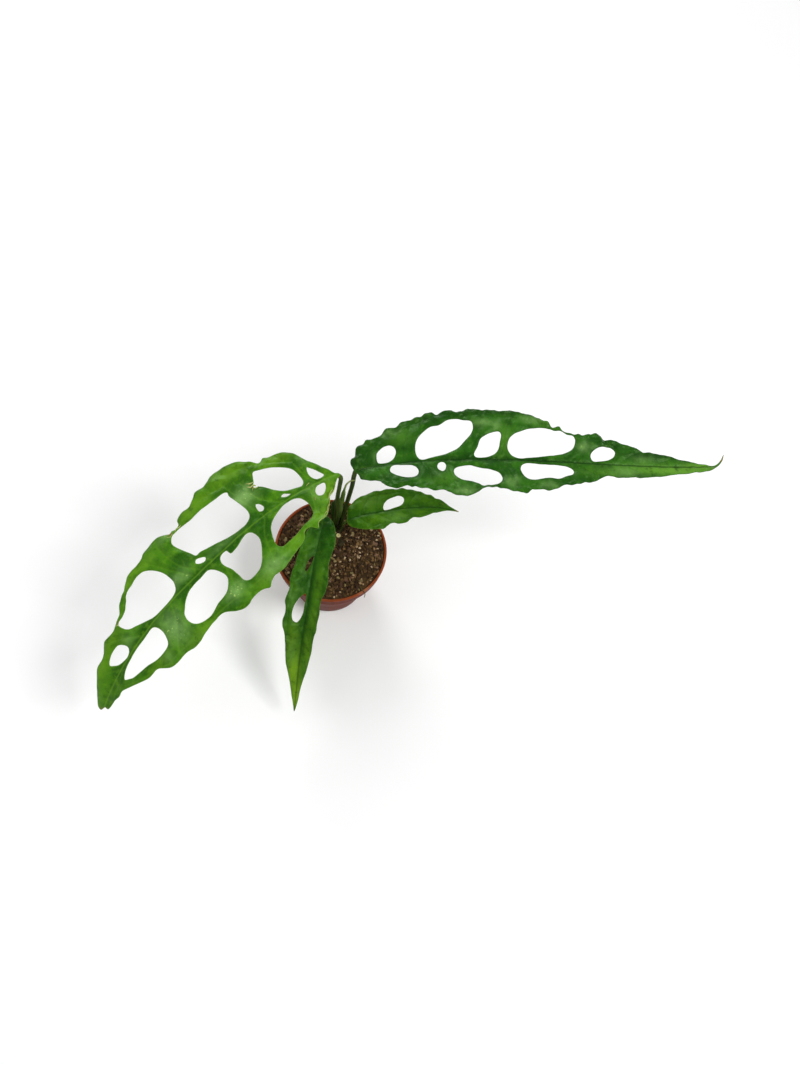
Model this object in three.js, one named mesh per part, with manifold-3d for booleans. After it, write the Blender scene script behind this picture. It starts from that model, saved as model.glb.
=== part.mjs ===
// Potted Monstera obliqua: four perforated leaves on petioles that rise from one short stem,
// rooted in a filled nursery pot. Millimetres, +Z up, origin at the middle of the pot's underside.
import * as THREE from 'three';
import { mergeVertices } from 'three/addons/utils/BufferGeometryUtils.js';
import Module from 'manifold-3d';

const wasm = await Module();
wasm.setup();

// Pot
const potHeight = 60;
const potRimRadius = 42.5;
const potBaseRadius = 28.5;
const potWall = 1;
const footRound = 1;
const collarHeight = 10;
const collarStep = 1.9;
const collarBevel = 0.5;
const lipHeight = 1.8;
const lipOverhang = 0.7;
const lipRound = 0.4;
const drainHoleCount = 6;
const drainHoleRadius = 3;
const drainRingRadius = 20;
const potSegments = 64;
const drainSegments = 16;

// Soil
const soilBrimDrop = 1.4;
const soilHeap = 1.5;
const soilHeapSpread = 22;
const soilRoughness = 0.45;
const soilRings = 9;
const soilSectors = 44;
const soilSeed = 7;
const grainCount = 52;
const grainRadius = [0.9, 1.9];
const grainBreadth = [0.7, 1];
const grainDepth = 0.75;
const grainRaise = 0.1;
const grainFromWall = 4;
const grainFromStem = 8;

// Stem, cut stub and petioles
const stemCentre = [3.8, 17.7];
const stemRadius = 5.1;
const stemTop = 62;
const stemBuried = 26;
const stemShoulder = 0.8;
const stemFootInset = 1.4;
const stemFootHeight = 3;
const stemSegments = 24;
const stubFoot = [4.5, 10.4, 50];
const stubTop = [4.8, 10.6, 62.8];
const stubRadius = 1.6;
const stubEdge = 0.4;
const stubPith = 0.8;
const stubPithFloor = 0.6;
const stubPithDepth = 0.8;
const stubSegments = 16;
const gap = 0.3;
const stubHoleGap = 0.6;
const holeAboveRim = 5;

// Leaf blades
const bladeThickness = 0.7;
const ribDepth = 0.9;
const ribHalfWidth = 1.6;
const ribTaper = 0.6;
const ribStart = [4.5, 9];
const ribEdgeShare = 0.6;
const foldRound = 3;
const edgeStep = 5;
const fillStep = 6.6;
const ribStep = 9;
const edgeClearance = 2.6;
const ribClearance = 4.2;
const fillSeed = 11;
const ribJitter = 0.1;
const fillJitter = 0.4;
const arcDivisions = 400;

// Each blade is drawn flat: u runs along the midrib from the petiole, v across it, to the left.
// The midrib is a cubic Bezier curve in space, and fold and curl lift the two halves beside it.
// ribBend is how far the rib's line strays sideways, where along it, and over what length.
const blades = {
  left: {
    midrib: [[0.5, 20, 140], [-58.5, -18.5, 147], [-119.5, -86, 123.5], [-142.5, -128.5, 67]],
    fold: 0.12,
    curl: -0.0025,
    wave: [0.9, 34, 38],
    ribBend: [1.6, 105, 35],
    outline: [
      [233.4, -1.9], [229.6, 0.4], [229.8, 2.6], [219.5, 5.4], [214.5, 7.2], [210.5, 7.2], [203, 11.3],
      [195.9, 15.6], [188.6, 19.5], [179.5, 21.3], [175.9, 24.5], [172.3, 28.1], [168, 29.9],
      [161, 30.5], [155, 31.3], [149.5, 33.3], [144, 33.8], [135, 32.3], [124.5, 31.4], [120, 32.3],
      [116.8, 34.6], [113, 37.8], [109, 39.8], [104, 40.6], [100, 39.6], [94.7, 38.4], [89.7, 39.5],
      [85.8, 41.2], [82.5, 39], [79, 37.6], [74, 38.2], [70, 38], [65, 36.5], [60, 34.8], [55, 32.9],
      [50, 31.6], [46.5, 29.7], [44, 26.4], [41.5, 25.4], [38.2, 25.8], [34.6, 29.6], [32, 26.2],
      [25.6, 24.9], [22.9, 23.6], [19.3, 20], [15.8, 15.8], [14.5, 13.3], [11.5, 12.2], [8.4, 10.1],
      [5.6, 6.9], [2, 3.4], [-0.9, 2], [-1, 0.2], [1.1, -1.3], [3.8, -5.4], [6.5, -9.5], [10.2, -14],
      [12.9, -17.6], [14.7, -20.8], [16.5, -24.9], [19.3, -28.5], [22.9, -31.3], [28.4, -34.2],
      [32.9, -34.7], [35.6, -36], [38.4, -34], [40.2, -33.8], [44.7, -38.1], [49.3, -42.2],
      [52, -43.9], [57.5, -45.8], [63, -46.8], [69.3, -45.8], [72.9, -43.5], [76.5, -41.9],
      [82, -42.9], [85.6, -39.9], [90.2, -37.6], [95.6, -38.4], [99.3, -37.6], [102, -35.4],
      [102.8, -32.8], [106.5, -32], [108.6, -32.8], [110.4, -31.9], [113.2, -33.4], [117.7, -36],
      [123.2, -36.9], [130.5, -35.8], [133.2, -34.2], [138, -33.4], [144, -33.5], [150.5, -31.6],
      [155, -28.6], [159.5, -27.8], [163.2, -26], [168.6, -21.6], [172.7, -20.1], [175.5, -19.2],
      [179.5, -18.1], [185, -18.9], [188.6, -19.4], [191.4, -18.3], [195, -16], [199.5, -14.7],
      [205.9, -15.1], [212.3, -12.4], [223.2, -7.8], [231.8, -4.2],
    ],
    holes: [
      [[11.8, 2.5], [12.2, 5.1], [14.7, 8.3], [17.9, 9.8], [20.6, 8.7], [20.9, 6], [19.3, 3.5],
        [16.5, 1.9]],
      [[29.5, 9.6], [29.8, 15.1], [31.1, 18.3], [34.7, 20.8], [42, 22.4], [50.2, 24.6], [57.5, 25.5],
        [61.5, 25.6], [63.9, 23.7], [64.1, 20.1], [62, 14.2], [59.3, 9.6], [55.6, 6.5], [50.2, 3.9],
        [43.8, 2], [37.5, 1.8], [32.9, 3.3], [30.6, 6]],
      [[70, 10.1], [71.1, 14.2], [73.8, 18.7], [78.4, 24.2], [82.9, 27.5], [88.4, 28.8],
        [92.9, 28.7], [95.6, 26.5], [96.1, 21.5], [97, 15.1], [98.8, 10.5], [99.1, 6.9], [97.5, 3.7],
        [94.7, 2.6], [91.6, 2.9], [90.7, 6.2], [88.4, 6.5], [82.9, 5.4], [78.4, 3.7], [73.8, 3],
        [71.3, 4.6]],
      [[102.4, 15.1], [102.9, 18.3], [105.4, 21.6], [109.8, 24.3], [118.6, 25.5], [123.2, 26.7],
        [128.6, 27.6], [133.2, 26.7], [136.8, 25.1], [139.5, 22.2], [140.5, 17.6], [139.5, 14],
        [135.9, 10.4], [130.5, 6.7], [125, 4.7], [115.9, 4.5], [108.6, 4.5], [105.8, 6.8],
        [103.4, 11.4]],
      [[157.5, 8.5], [158.2, 12.6], [160.5, 16.7], [163.2, 18.5], [168.6, 18.7], [175, 17.5],
        [182.3, 14.5], [188.6, 12.6], [195.9, 10.2], [199.1, 7.8], [201.4, 5.4], [195.9, 2.9],
        [188.6, 2], [179.5, 1.6], [170.5, 1.9], [160.5, 2.2], [158.4, 4.5]],
      [[8.4, -3.5], [10.2, -2.4], [14.7, -2.8], [17, -5.8], [17.5, -8.5], [17, -11.3], [15.8, -13.5],
        [13.8, -11.3], [11.1, -7.6]],
      [[23.3, -5.5], [25.6, -3.5], [31.1, -4.3], [37.5, -6.7], [42, -10.4], [45.6, -14.9],
        [48.8, -18.5], [51.5, -18.9], [52, -21.1], [50.2, -23.1], [48.4, -26.7], [46.5, -29.7],
        [42, -28.5], [34.7, -25.8], [28.4, -21.3], [24.7, -16.7], [23.2, -10.4]],
      [[35.4, -2.3], [38.4, -2.2], [41.5, -4.4], [39.3, -5.2], [36.8, -3.7]],
      [[54.7, -4.9], [56.5, -3.1], [58.8, -4], [59, -7.4], [57.9, -9.6], [56.1, -8.5]],
      [[64.6, -8.5], [66.1, -4.9], [69.3, -3.1], [76.5, -2.2], [84.7, -3.1], [92, -4.9],
        [99.3, -6.9], [104.7, -8.5], [107.8, -8.6], [109.5, -12.4], [111.8, -17.8], [113.6, -23.3],
        [113.7, -26], [112.2, -28.4], [110, -30.2], [105.6, -30.5], [101.1, -30.2], [94.7, -29.7],
        [87.5, -30.1], [79.3, -29.7], [68.4, -29.7], [66.9, -28.3], [67.6, -26.3], [66.5, -20.4],
        [65.2, -14.9]],
      [[104.2, -3.4], [105.8, -1.7], [109.5, -2.6], [111.4, -4.9], [109.8, -6.5], [106.7, -5.5]],
      [[129.4, -10.5], [130, -6], [132.3, -2.4], [135.9, -0.9], [145.9, -0.6], [155, -1.7],
        [160.5, -4.2], [166.8, -7.4], [172, -10.5], [173.9, -14.2], [174, -18.1], [168.6, -18.9],
        [164.1, -20], [161.4, -22], [156.8, -25.5], [150.5, -26.9], [143.2, -28.1], [138.6, -27.4],
        [134.1, -23.3], [130.5, -16.9]],
      [[181.6, -4.2], [183.2, -1.9], [186.8, -0.9], [191.4, -1.5], [195.9, -3.3], [198.6, -6],
        [199.9, -8], [197.7, -9.8], [190.5, -11], [185, -10.4], [182.6, -7.8]],
    ],
  },
  right: {
    midrib: [[12.5, 24, 140], [93.5, 39.5, 158], [181, 20.5, 169], [263, 40.5, 153.5]],
    fold: 0.2,
    curl: -0.002,
    wave: [0.8, 27, 34],
    ribBend: [0, 120, 40],
    outline: [
      [267, 8.8], [263, 4.6], [259.5, 2.2], [256, 1], [251, 1.2], [243, 2.8], [234, 4.8], [226, 6.3],
      [222, 7.7], [215, 9], [207, 10.2], [199, 10.9], [192, 14.5], [186, 15.8], [179, 18.2],
      [171.5, 18.9], [168, 22.4], [165, 23], [160, 21.6], [154, 21.6], [149, 21.8], [144, 23.9],
      [140, 25.6], [135.5, 25.8], [132, 29.2], [129, 30], [126.5, 32.3], [122, 34], [118, 36],
      [114, 34.9], [110, 36.2], [106, 37.7], [99, 37.1], [96, 38.2], [92, 38.2], [89, 37.2],
      [85, 36.7], [81, 38.2], [76, 38], [71, 37], [66.5, 37.6], [63, 37.5], [60, 36.1], [57, 35],
      [54, 36], [50, 35.8], [46.5, 34], [42, 33], [39.5, 31.5], [35, 31], [33, 29.5], [30.5, 26.6],
      [26.5, 27], [23, 26], [20, 22.6], [17, 20.5], [11, 20.3], [8, 17.9], [5, 17], [3, 15.5],
      [1.8, 12.5], [0.8, 9], [-1.8, 7.6], [-2.5, 5.5], [-1.6, 2], [-1, 0], [0, -1.8], [2, -5],
      [3, -8], [6, -10.2], [13, -11.3], [16, -13], [19, -16.5], [23, -19], [28, -19.7], [35, -19],
      [39, -20.5], [43, -22.3], [50, -22.8], [53, -24.5], [60, -25], [64, -26.8], [68, -29.5],
      [73, -30], [78, -29.2], [83, -26.8], [87, -24.2], [92, -23.5], [100, -23.4], [105, -25],
      [110, -26.3], [113, -27.7], [116, -27.2], [119, -25.2], [125, -23.9], [131, -24], [136, -22],
      [140, -19.8], [145, -19], [151, -18.2], [156, -16], [162, -14.7], [166, -12.5], [170, -10.1],
      [175, -9.9], [181, -11], [189, -10.1], [198, -9.7], [209, -8.2], [219, -6.7], [230, -5.5],
      [238, -4.4], [245, -4], [252, -2.8], [256, -1], [260, 1], [264.3, 4.3],
    ],
    holes: [
      [[15.5, 4], [16, 9], [17.5, 10.7], [21, 13], [24.5, 13.8], [27.5, 12.5], [29, 9], [27.5, 4.5],
        [24, 2], [20, 1.3], [16.3, 2]],
      [[42, 10], [43, 15], [46.5, 20], [52, 24.5], [59, 26.3], [65, 30.1], [71, 31], [76, 29.5],
        [80, 28.3], [81.2, 23.5], [79.5, 18.5], [75, 13], [70, 8], [64, 5], [56, 3], [47, 1.1],
        [44.3, 1.8], [42.4, 5]],
      [[81.5, 4], [82.5, 1.9], [90, 1.8], [95, 4], [98, 7.5], [99.2, 13], [100, 19], [98.5, 21],
        [95.5, 20.8], [90.5, 18.5], [86, 15], [84, 9.5]],
      [[104.2, 10], [105.5, 15.5], [109, 19.5], [114, 21.7], [119, 24], [126, 25], [131, 24.8],
        [137, 23], [142, 22.2], [147, 20.3], [150, 19.2], [151.1, 16.5], [150.5, 13], [148.5, 9.5],
        [144, 7], [135, 4.5], [125, 3], [118, 2], [112, 1.5], [108, 3], [105, 6.5]],
      [[23.8, -6], [24.5, -2.5], [27, -1.2], [32, -1.7], [38, -2.5], [42, -4.5], [43.5, -8],
        [42.5, -11], [39, -12.5], [32, -11.5], [27, -9]],
      [[56.2, -5], [57.5, -2.2], [60, -1.5], [62.2, -3.5], [61.8, -7.5], [60.2, -9.3], [57.5, -8]],
      [[67.3, -10], [68.5, -7], [72, -5.5], [78, -4.8], [84, -6.5], [92, -8.5], [97.5, -10.5],
        [100.2, -15], [99, -19], [94.5, -21], [89, -21.8], [85, -20.8], [80, -18.2], [72, -16.5],
        [68.5, -13.5]],
      [[112.7, -8], [113.5, -4.5], [116.5, -2.6], [125, -2.7], [135, -2.5], [142, -3.3], [147, -5],
        [148.8, -7], [148.2, -9.5], [144, -11.5], [138, -14], [131, -14], [126, -15.3], [122, -16],
        [118, -15.5], [115, -13]],
      [[161.3, 5], [162.5, 8.5], [167, 12.2], [172, 13], [177, 12], [179.2, 9.5], [178, 6],
        [174, 3.5], [168, 2], [163, 2.1]],
    ],
  },
  small: {
    midrib: [[10.5, 11.5, 89], [33, 21, 92], [70, 29, 93], [93.5, 25, 87.5]],
    fold: 0.12,
    curl: -0.002,
    wave: [0.5, 21, 16],
    ribBend: [-0.9, 36, 25],
    outline: [
      [85.4, 0.2], [81.9, 1.1], [77.6, 2.7], [73.3, 5.3], [69.7, 7], [66.9, 7.3], [63.6, 9.7],
      [60.4, 10.4], [57.6, 12.2], [54.7, 12.8], [51.1, 14.6], [46.9, 14.5], [43.3, 15.6],
      [39.7, 15.3], [36.5, 16], [32.6, 16.3], [28.3, 15.4], [24, 16.3], [19.7, 15.2], [14.7, 14.6],
      [10.4, 13.2], [6.1, 10.7], [2.6, 7.2], [0.8, 3.3], [-0.6, -0.5], [-1, -3.1], [-0.4, -5.3],
      [1.9, -7.8], [6.1, -10.3], [10.4, -12.3], [15.4, -13.5], [20.4, -14.6], [24, -14.8],
      [27.6, -13.5], [30.4, -12.2], [33.3, -12.3], [36.9, -13.1], [39.7, -12.7], [43.3, -12.2],
      [46.1, -10.3], [49, -8.8], [53.3, -9.4], [56.9, -8.3], [61.1, -6.9], [65.4, -4.9], [69, -4],
      [72.6, -2.5], [76.9, -1.2], [81.1, -0.5],
    ],
    holes: [
      [[27.9, 0], [27.6, 2], [29, 5.1], [32.6, 8.1], [36.9, 9.4], [40.4, 9.7], [43.3, 8.2],
        [43.9, 6], [42.6, 3.3], [39.7, 1.5], [35.4, 0.6], [31.1, -0.1]],
    ],
  },
  front: {
    midrib: [[-5.5, 13, 88], [-17, -35.5, 84], [-17, -85, 58.5], [-19, -114.5, 18.5]],
    fold: 0.35,
    curl: -0.004,
    wave: [0.6, 24, 14],
    ribBend: [1, 65, 32],
    outline: [
      [151.1, 0], [146.7, 1], [140, 2], [131.1, 2.8], [123.3, 4.1], [115.6, 5.8], [107.8, 7],
      [100, 8.1], [94, 8.2], [88.5, 8.7], [84.4, 9.7], [78.9, 9.7], [72.2, 10.4], [65.6, 9.9],
      [61.1, 10.4], [56.7, 12], [52.2, 12.7], [47.8, 13], [41.1, 11.9], [34.4, 11.1], [27.8, 11.6],
      [21.1, 12.4], [14.4, 11.3], [7.8, 9.1], [3.3, 6.3], [0.6, 3], [-0.2, 0], [1.8, -2.6],
      [5.5, -5.8], [11, -8.6], [18, -10.4], [26, -11.4], [34.4, -12.2], [40, -12.6], [45.6, -13.7],
      [51.1, -14], [56.7, -13.3], [61.1, -14.2], [65.6, -15.1], [70, -14], [74.4, -13.8],
      [78.9, -14.8], [83.3, -14.2], [87.8, -12.6], [93.3, -11.5], [102.2, -10.3], [111.1, -9],
      [118.9, -6.7], [127.8, -4.6], [136.7, -2.9], [145.6, -1.1],
    ],
    holes: [
      [[30.9, -0.9], [34.4, -0.8], [39.5, -2.2], [43.3, -4], [42, -5], [36.7, -4.4], [32.8, -2.8]],
      [[58.7, -1.6], [61.1, -0.7], [66.7, -1], [72.8, -1.3], [77.8, -3], [80, -4.9], [78.9, -7.6],
        [74.4, -9], [67.8, -8.2], [63.3, -6], [60.4, -3.8]],
    ],
  },
};

// Petioles: a route up to just below the blade, and its section as
// [share of the length, half width, half depth], the width lying along side.
const petioles = {
  left: {
    route: [[1.2, 19.3, 62.5], [1.7, 19.2, 69], [2, 19, 84], [2, 19, 98], [2.1, 19.2, 112],
      [2.9, 19.6, 126], [2.9, 20.4, 134.5]],
    side: [1, 0, 0],
    section: [[0, 1.5, 1.5], [0.1, 2.4, 1.5], [0.2, 3.7, 1.4], [0.3, 4.2, 1.3], [0.42, 4.1, 1.2],
      [0.5, 2.9, 1.3], [0.57, 1.9, 1.4], [0.8, 1.7, 1.5], [0.93, 1.6, 1.5], [1, 1.2, 1]],
  },
  right: {
    route: [[5.8, 20.1, 62.5], [7, 21.3, 74], [9.4, 22.3, 97], [11.6, 22.6, 120], [12.2, 22.9, 134]],
    side: [1, 0, 0],
    section: [[0, 1.6, 1.5], [0.3, 1.75, 1.6], [0.8, 1.65, 1.55], [0.93, 1.7, 1.6], [1, 1.2, 1]],
  },
  small: {
    route: [[6.2, 15.9, 62.5], [7.3, 14.7, 69], [8.4, 12.4, 79], [9, 10.9, 84.5]],
    side: [1, 0, 0],
    section: [[0, 1.3, 1.3], [0.5, 0.95, 0.95], [0.9, 1, 1], [1, 0.8, 0.8]],
  },
  front: {
    route: [[1.9, 15.5, 62.5], [0.6, 14, 68], [-2.6, 13.1, 76], [-4.9, 14, 82.5]],
    side: [1, 0, 0],
    section: [[0, 1.4, 1.4], [0.5, 1.15, 1.15], [0.9, 1.2, 1.2], [1, 1, 0.9]],
  },
};
const petioleReach = [0.2, 3.4];
const petioleEndGap = 0.65;
const petioleSides = 10;
const petioleStep = 2.6;
const petioleFewestRings = 6;

// The withered tongue of the left sheath, which leans over to the right petiole
const tongue = {
  route: [[5, 20.9, 90], [5.2, 20.9, 98], [5.7, 20.5, 108.5], [6.3, 19.9, 118.2], [7.3, 19.8, 125.2],
    [8.6, 19.8, 128.9], [10.4, 19.8, 131.6], [12.8, 19.8, 132.8]],
  side: [1, 0, 0],
  section: [[0, 0.5, 0.35], [0.15, 0.9, 0.4], [0.6, 0.8, 0.4], [1, 0.45, 0.4]],
};

const weldDistance = 1e-4;
const randomFactor = 1664525;
const randomStep = 1013904223;
const randomRange = 2 ** 32;

/** A repeatable draw of numbers from ranges, from a seed. */
function makeRandom(seed) {
  let state = seed;
  return (low = 0, high = 1) => {
    state = (Math.imul(state, randomFactor) + randomStep) >>> 0;
    return low + ((high - low) * state) / randomRange;
  };
}

/** A geometry from [x, y, z] points and triples of their numbers. */
function geometryOf(points, faces) {
  const geometry = new THREE.BufferGeometry();
  geometry.setAttribute('position', new THREE.Float32BufferAttribute(points.flat(), 3));
  geometry.setIndex(faces.flat());
  geometry.computeVertexNormals();
  return geometry;
}

/** A solid for joining and cutting, from a closed geometry. */
function toSolid(geometry) {
  const bare = geometry.clone();
  bare.deleteAttribute('normal');
  bare.deleteAttribute('uv');
  const welded = mergeVertices(bare, weldDistance);
  const corners = Array.from(welded.index.array);
  const kept = [];
  for (let i = 0; i < corners.length; i += 3) {
    const [a, b, c] = corners.slice(i, i + 3);
    if (a !== b && b !== c && c !== a) kept.push(a, b, c);
  }
  const mesh = new wasm.Mesh({
    numProp: 3,
    vertProperties: new Float32Array(welded.attributes.position.array),
    triVerts: new Uint32Array(kept),
  });
  return new wasm.Manifold(mesh);
}

/** The geometry of a solid. */
function toGeometry(solid) {
  const mesh = solid.getMesh();
  const geometry = new THREE.BufferGeometry();
  geometry.setAttribute('position', new THREE.BufferAttribute(mesh.vertProperties, 3));
  geometry.setIndex(new THREE.BufferAttribute(mesh.triVerts, 1));
  geometry.computeVertexNormals();
  return geometry;
}

/** A profile of [radius, height] points turned round the Z axis. */
function revolve(profile, segments) {
  const points = profile.map(([radius, height]) => new THREE.Vector2(radius, height));
  return new THREE.LatheGeometry(points, segments).rotateX(Math.PI / 2);
}

/** An upright cylinder between two heights. */
function upright(radius, low, high, x, y, segments) {
  const geometry = new THREE.CylinderGeometry(radius, radius, high - low, segments);
  return geometry.rotateX(Math.PI / 2).translate(x, y, (low + high) / 2);
}

/** The value between the rows of a table whose first column rises, as [value, value]. */
function interpolate(table, place) {
  let row = 0;
  while (row < table.length - 2 && place > table[row + 1][0]) row += 1;
  const [start, ...from] = table[row];
  const [end, ...to] = table[row + 1];
  const share = THREE.MathUtils.clamp((place - start) / (end - start), 0, 1);
  return from.map((value, i) => value + (to[i] - value) * share);
}

/** A closed tube along a curve, with an oval section that changes along it. */
function sweep(curve, { side, section }) {
  const rings = Math.max(petioleFewestRings, Math.round(curve.getLength() / petioleStep));
  const across = new THREE.Vector3(...side);
  const points = [];
  const faces = [];
  for (let ring = 0; ring <= rings; ring += 1) {
    const place = ring / rings;
    const centre = curve.getPointAt(place);
    const along = curve.getTangentAt(place);
    const wide = across.clone().addScaledVector(along, -across.dot(along)).normalize();
    const deep = new THREE.Vector3().crossVectors(along, wide);
    const [halfWidth, halfDepth] = interpolate(section, place);
    for (let i = 0; i < petioleSides; i += 1) {
      const angle = (2 * Math.PI * i) / petioleSides;
      const point = centre.clone()
        .addScaledVector(wide, Math.cos(angle) * halfWidth)
        .addScaledVector(deep, Math.sin(angle) * halfDepth);
      points.push(point.toArray());
      if (ring === 0) continue;
      const here = ring * petioleSides;
      const next = (i + 1) % petioleSides;
      const below = here - petioleSides;
      faces.push([below + i, below + next, here + next], [below + i, here + next, here + i]);
    }
  }
  const last = rings * petioleSides;
  points.push(curve.getPointAt(0).toArray(), curve.getPointAt(1).toArray());
  const [startCentre, endCentre] = [points.length - 2, points.length - 1];
  for (let i = 0; i < petioleSides; i += 1) {
    const next = (i + 1) % petioleSides;
    faces.push([startCentre, next, i], [endCentre, last + i, last + next]);
  }
  return geometryOf(points, faces);
}

/** The form of one blade in space: frames along its midrib, and the sheet that they carry. */
class BladeForm {
  constructor({ midrib, fold, curl, wave, ribBend }) {
    this.curve = new THREE.CubicBezierCurve3(...midrib.map((point) => new THREE.Vector3(...point)));
    this.curve.arcLengthDivisions = arcDivisions;
    this.length = this.curve.getLength();
    Object.assign(this, { fold, curl, wave, ribBend });
  }

  /** The frame of the midrib at a distance from the base. */
  frame(u) {
    const place = THREE.MathUtils.clamp(u / this.length, 0, 1);
    const along = this.curve.getTangentAt(place);
    const across = new THREE.Vector3(-along.y, along.x, 0).normalize();
    const up = new THREE.Vector3().crossVectors(along, across);
    const centre = this.curve.getPointAt(place).addScaledVector(along, u - place * this.length);
    return { centre, along, across, up };
  }

  /** How far the rib's line lies beside the midrib curve. */
  ribLine(u) {
    const [shift, middle, spread] = this.ribBend;
    return shift * Math.exp(-(((u - middle) / spread) ** 2));
  }

  /** How far the sheet lies above its frame. */
  lift(u, v) {
    const [height, length, halfWidth] = this.wave;
    const ripple = height * (v / halfWidth) ** 2 * Math.sin((2 * Math.PI * u) / length + Math.sign(v));
    return this.fold * (Math.hypot(v, foldRound) - foldRound) + this.curl * v * v + ripple;
  }

  /** The point of the sheet at u, v, moved off it by offset. */
  point(u, v, offset) {
    const { centre, across, up } = this.frame(u);
    return centre.addScaledVector(across, v).addScaledVector(up, this.lift(u, v) + offset);
  }
}

/** Samples a closed curve through hand-set points, keeping each of them. */
function sampleLoop(points) {
  const knots = points.map(([u, v]) => new THREE.Vector3(u, v, 0));
  const curve = new THREE.CatmullRomCurve3(knots, true, 'centripetal');
  return knots.flatMap((knot, i) => {
    const span = knot.distanceTo(knots[(i + 1) % knots.length]);
    const parts = Math.max(1, Math.round(span / edgeStep));
    return Array.from({ length: parts }, (_, k) => {
      const { x, y } = curve.getPoint((i + k / parts) / knots.length);
      return [x, y];
    });
  });
}

/** Whether a point lies inside a closed loop of points. */
function isInside([x, y], loop) {
  let inside = false;
  loop.forEach(([ax, ay], i) => {
    const [bx, by] = loop[(i + 1) % loop.length];
    if (ay > y !== by > y && x < ax + ((y - ay) / (by - ay)) * (bx - ax)) inside = !inside;
  });
  return inside;
}

/** The distance from a point to the nearest edge of the loops. */
function edgeDistance([x, y], loops) {
  let nearest = Infinity;
  for (const loop of loops) {
    loop.forEach(([ax, ay], i) => {
      const [bx, by] = loop[(i + 1) % loop.length];
      const [dx, dy] = [bx - ax, by - ay];
      const share = THREE.MathUtils.clamp(((x - ax) * dx + (y - ay) * dy) / (dx * dx + dy * dy), 0, 1);
      nearest = Math.min(nearest, Math.hypot(ax + share * dx - x, ay + share * dy - y));
    });
  }
  return nearest;
}

/** A triangle with its circumscribed circle. */
function circled(points, a, b, c) {
  const [ax, ay] = points[a];
  const [bx, by] = [points[b][0] - ax, points[b][1] - ay];
  const [cx, cy] = [points[c][0] - ax, points[c][1] - ay];
  const double = 2 * (bx * cy - by * cx);
  const x = (cy * (bx * bx + by * by) - by * (cx * cx + cy * cy)) / double;
  const y = (bx * (cx * cx + cy * cy) - cx * (bx * bx + by * by)) / double;
  return { corners: [a, b, c], x: ax + x, y: ay + y, reach: x * x + y * y };
}

/** The Delaunay triangles of flat points, by adding one point at a time. */
function delaunay(flat) {
  const far = 1e4;
  const count = flat.length;
  const points = [...flat, [-far, -far], [far, -far], [0, far]];
  let triangles = [circled(points, count, count + 1, count + 2)];
  flat.forEach(([x, y], index) => {
    const rim = new Map();
    triangles = triangles.filter((triangle) => {
      if ((triangle.x - x) ** 2 + (triangle.y - y) ** 2 > triangle.reach) return true;
      triangle.corners.forEach((from, i) => {
        const to = triangle.corners[(i + 1) % 3];
        if (!rim.delete(`${to},${from}`)) rim.set(`${from},${to}`, [from, to]);
      });
      return false;
    });
    for (const [from, to] of rim.values()) triangles.push(circled(points, from, to, index));
  });
  return triangles.map(({ corners }) => corners).filter((corners) => Math.max(...corners) < count);
}

/** Points along the rib and beside it, and a staggered lattice over the rest of the sheet. */
function fillPoints(form, loops) {
  const random = makeRandom(fillSeed);
  const [outline, ...holes] = loops;
  const points = [];
  const isClear = (point, distance) => isInside(point, outline)
    && !holes.some((hole) => isInside(point, hole)) && edgeDistance(point, loops) > distance;
  for (let u = ribStart[0]; u < form.length; u += ribStep) {
    for (const beside of [-ribHalfWidth, 0, ribHalfWidth]) {
      const point = [u + random(0, ribJitter), form.ribLine(u) + beside];
      if (isClear(point, ribHalfWidth * ribEdgeShare)) points.push(point);
    }
  }
  const rowHeight = (fillStep * Math.sqrt(3)) / 2;
  const rows = Math.ceil(Math.max(...outline.map(([, v]) => Math.abs(v))) / rowHeight);
  for (let row = -rows; row <= rows; row += 1) {
    for (let u = (row % 2) * (fillStep / 2); u < form.length + fillStep; u += fillStep) {
      const point = [u + random(0, fillJitter), row * rowHeight + random(0, fillJitter)];
      const besideRib = Math.abs(point[1] - form.ribLine(point[0]));
      if (besideRib > ribClearance && isClear(point, edgeClearance)) points.push(point);
    }
  }
  return points;
}

/** Splits the loops' edges until the triangles keep them all, and returns both. */
function triangulate(form, loops) {
  const inner = fillPoints(form, loops);
  for (;;) {
    const points = [...loops.flat(), ...inner];
    const triangles = delaunay(points);
    const edges = new Set(triangles.flatMap(([a, b, c]) => [[a, b], [b, c], [c, a]]
      .map((pair) => pair.sort((p, q) => p - q).join())));
    let first = 0;
    let isWhole = true;
    loops.forEach((loop, n) => {
      const start = first;
      first += loop.length;
      loops[n] = loop.flatMap((point, i) => {
        const next = (i + 1) % loop.length;
        const pair = [start + i, start + next].sort((p, q) => p - q);
        if (edges.has(pair.join())) return [point];
        isWhole = false;
        return [point, [(point[0] + loop[next][0]) / 2, (point[1] + loop[next][1]) / 2]];
      });
    });
    if (!isWhole) continue;
    const [outline, ...holes] = loops;
    const kept = triangles.filter((corners) => {
      const middle = [0, 1].map((axis) => corners.reduce((sum, i) => sum + points[i][axis] / 3, 0));
      return isInside(middle, outline) && !holes.some((hole) => isInside(middle, hole));
    });
    return { points, triangles: kept };
  }
}

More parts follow.
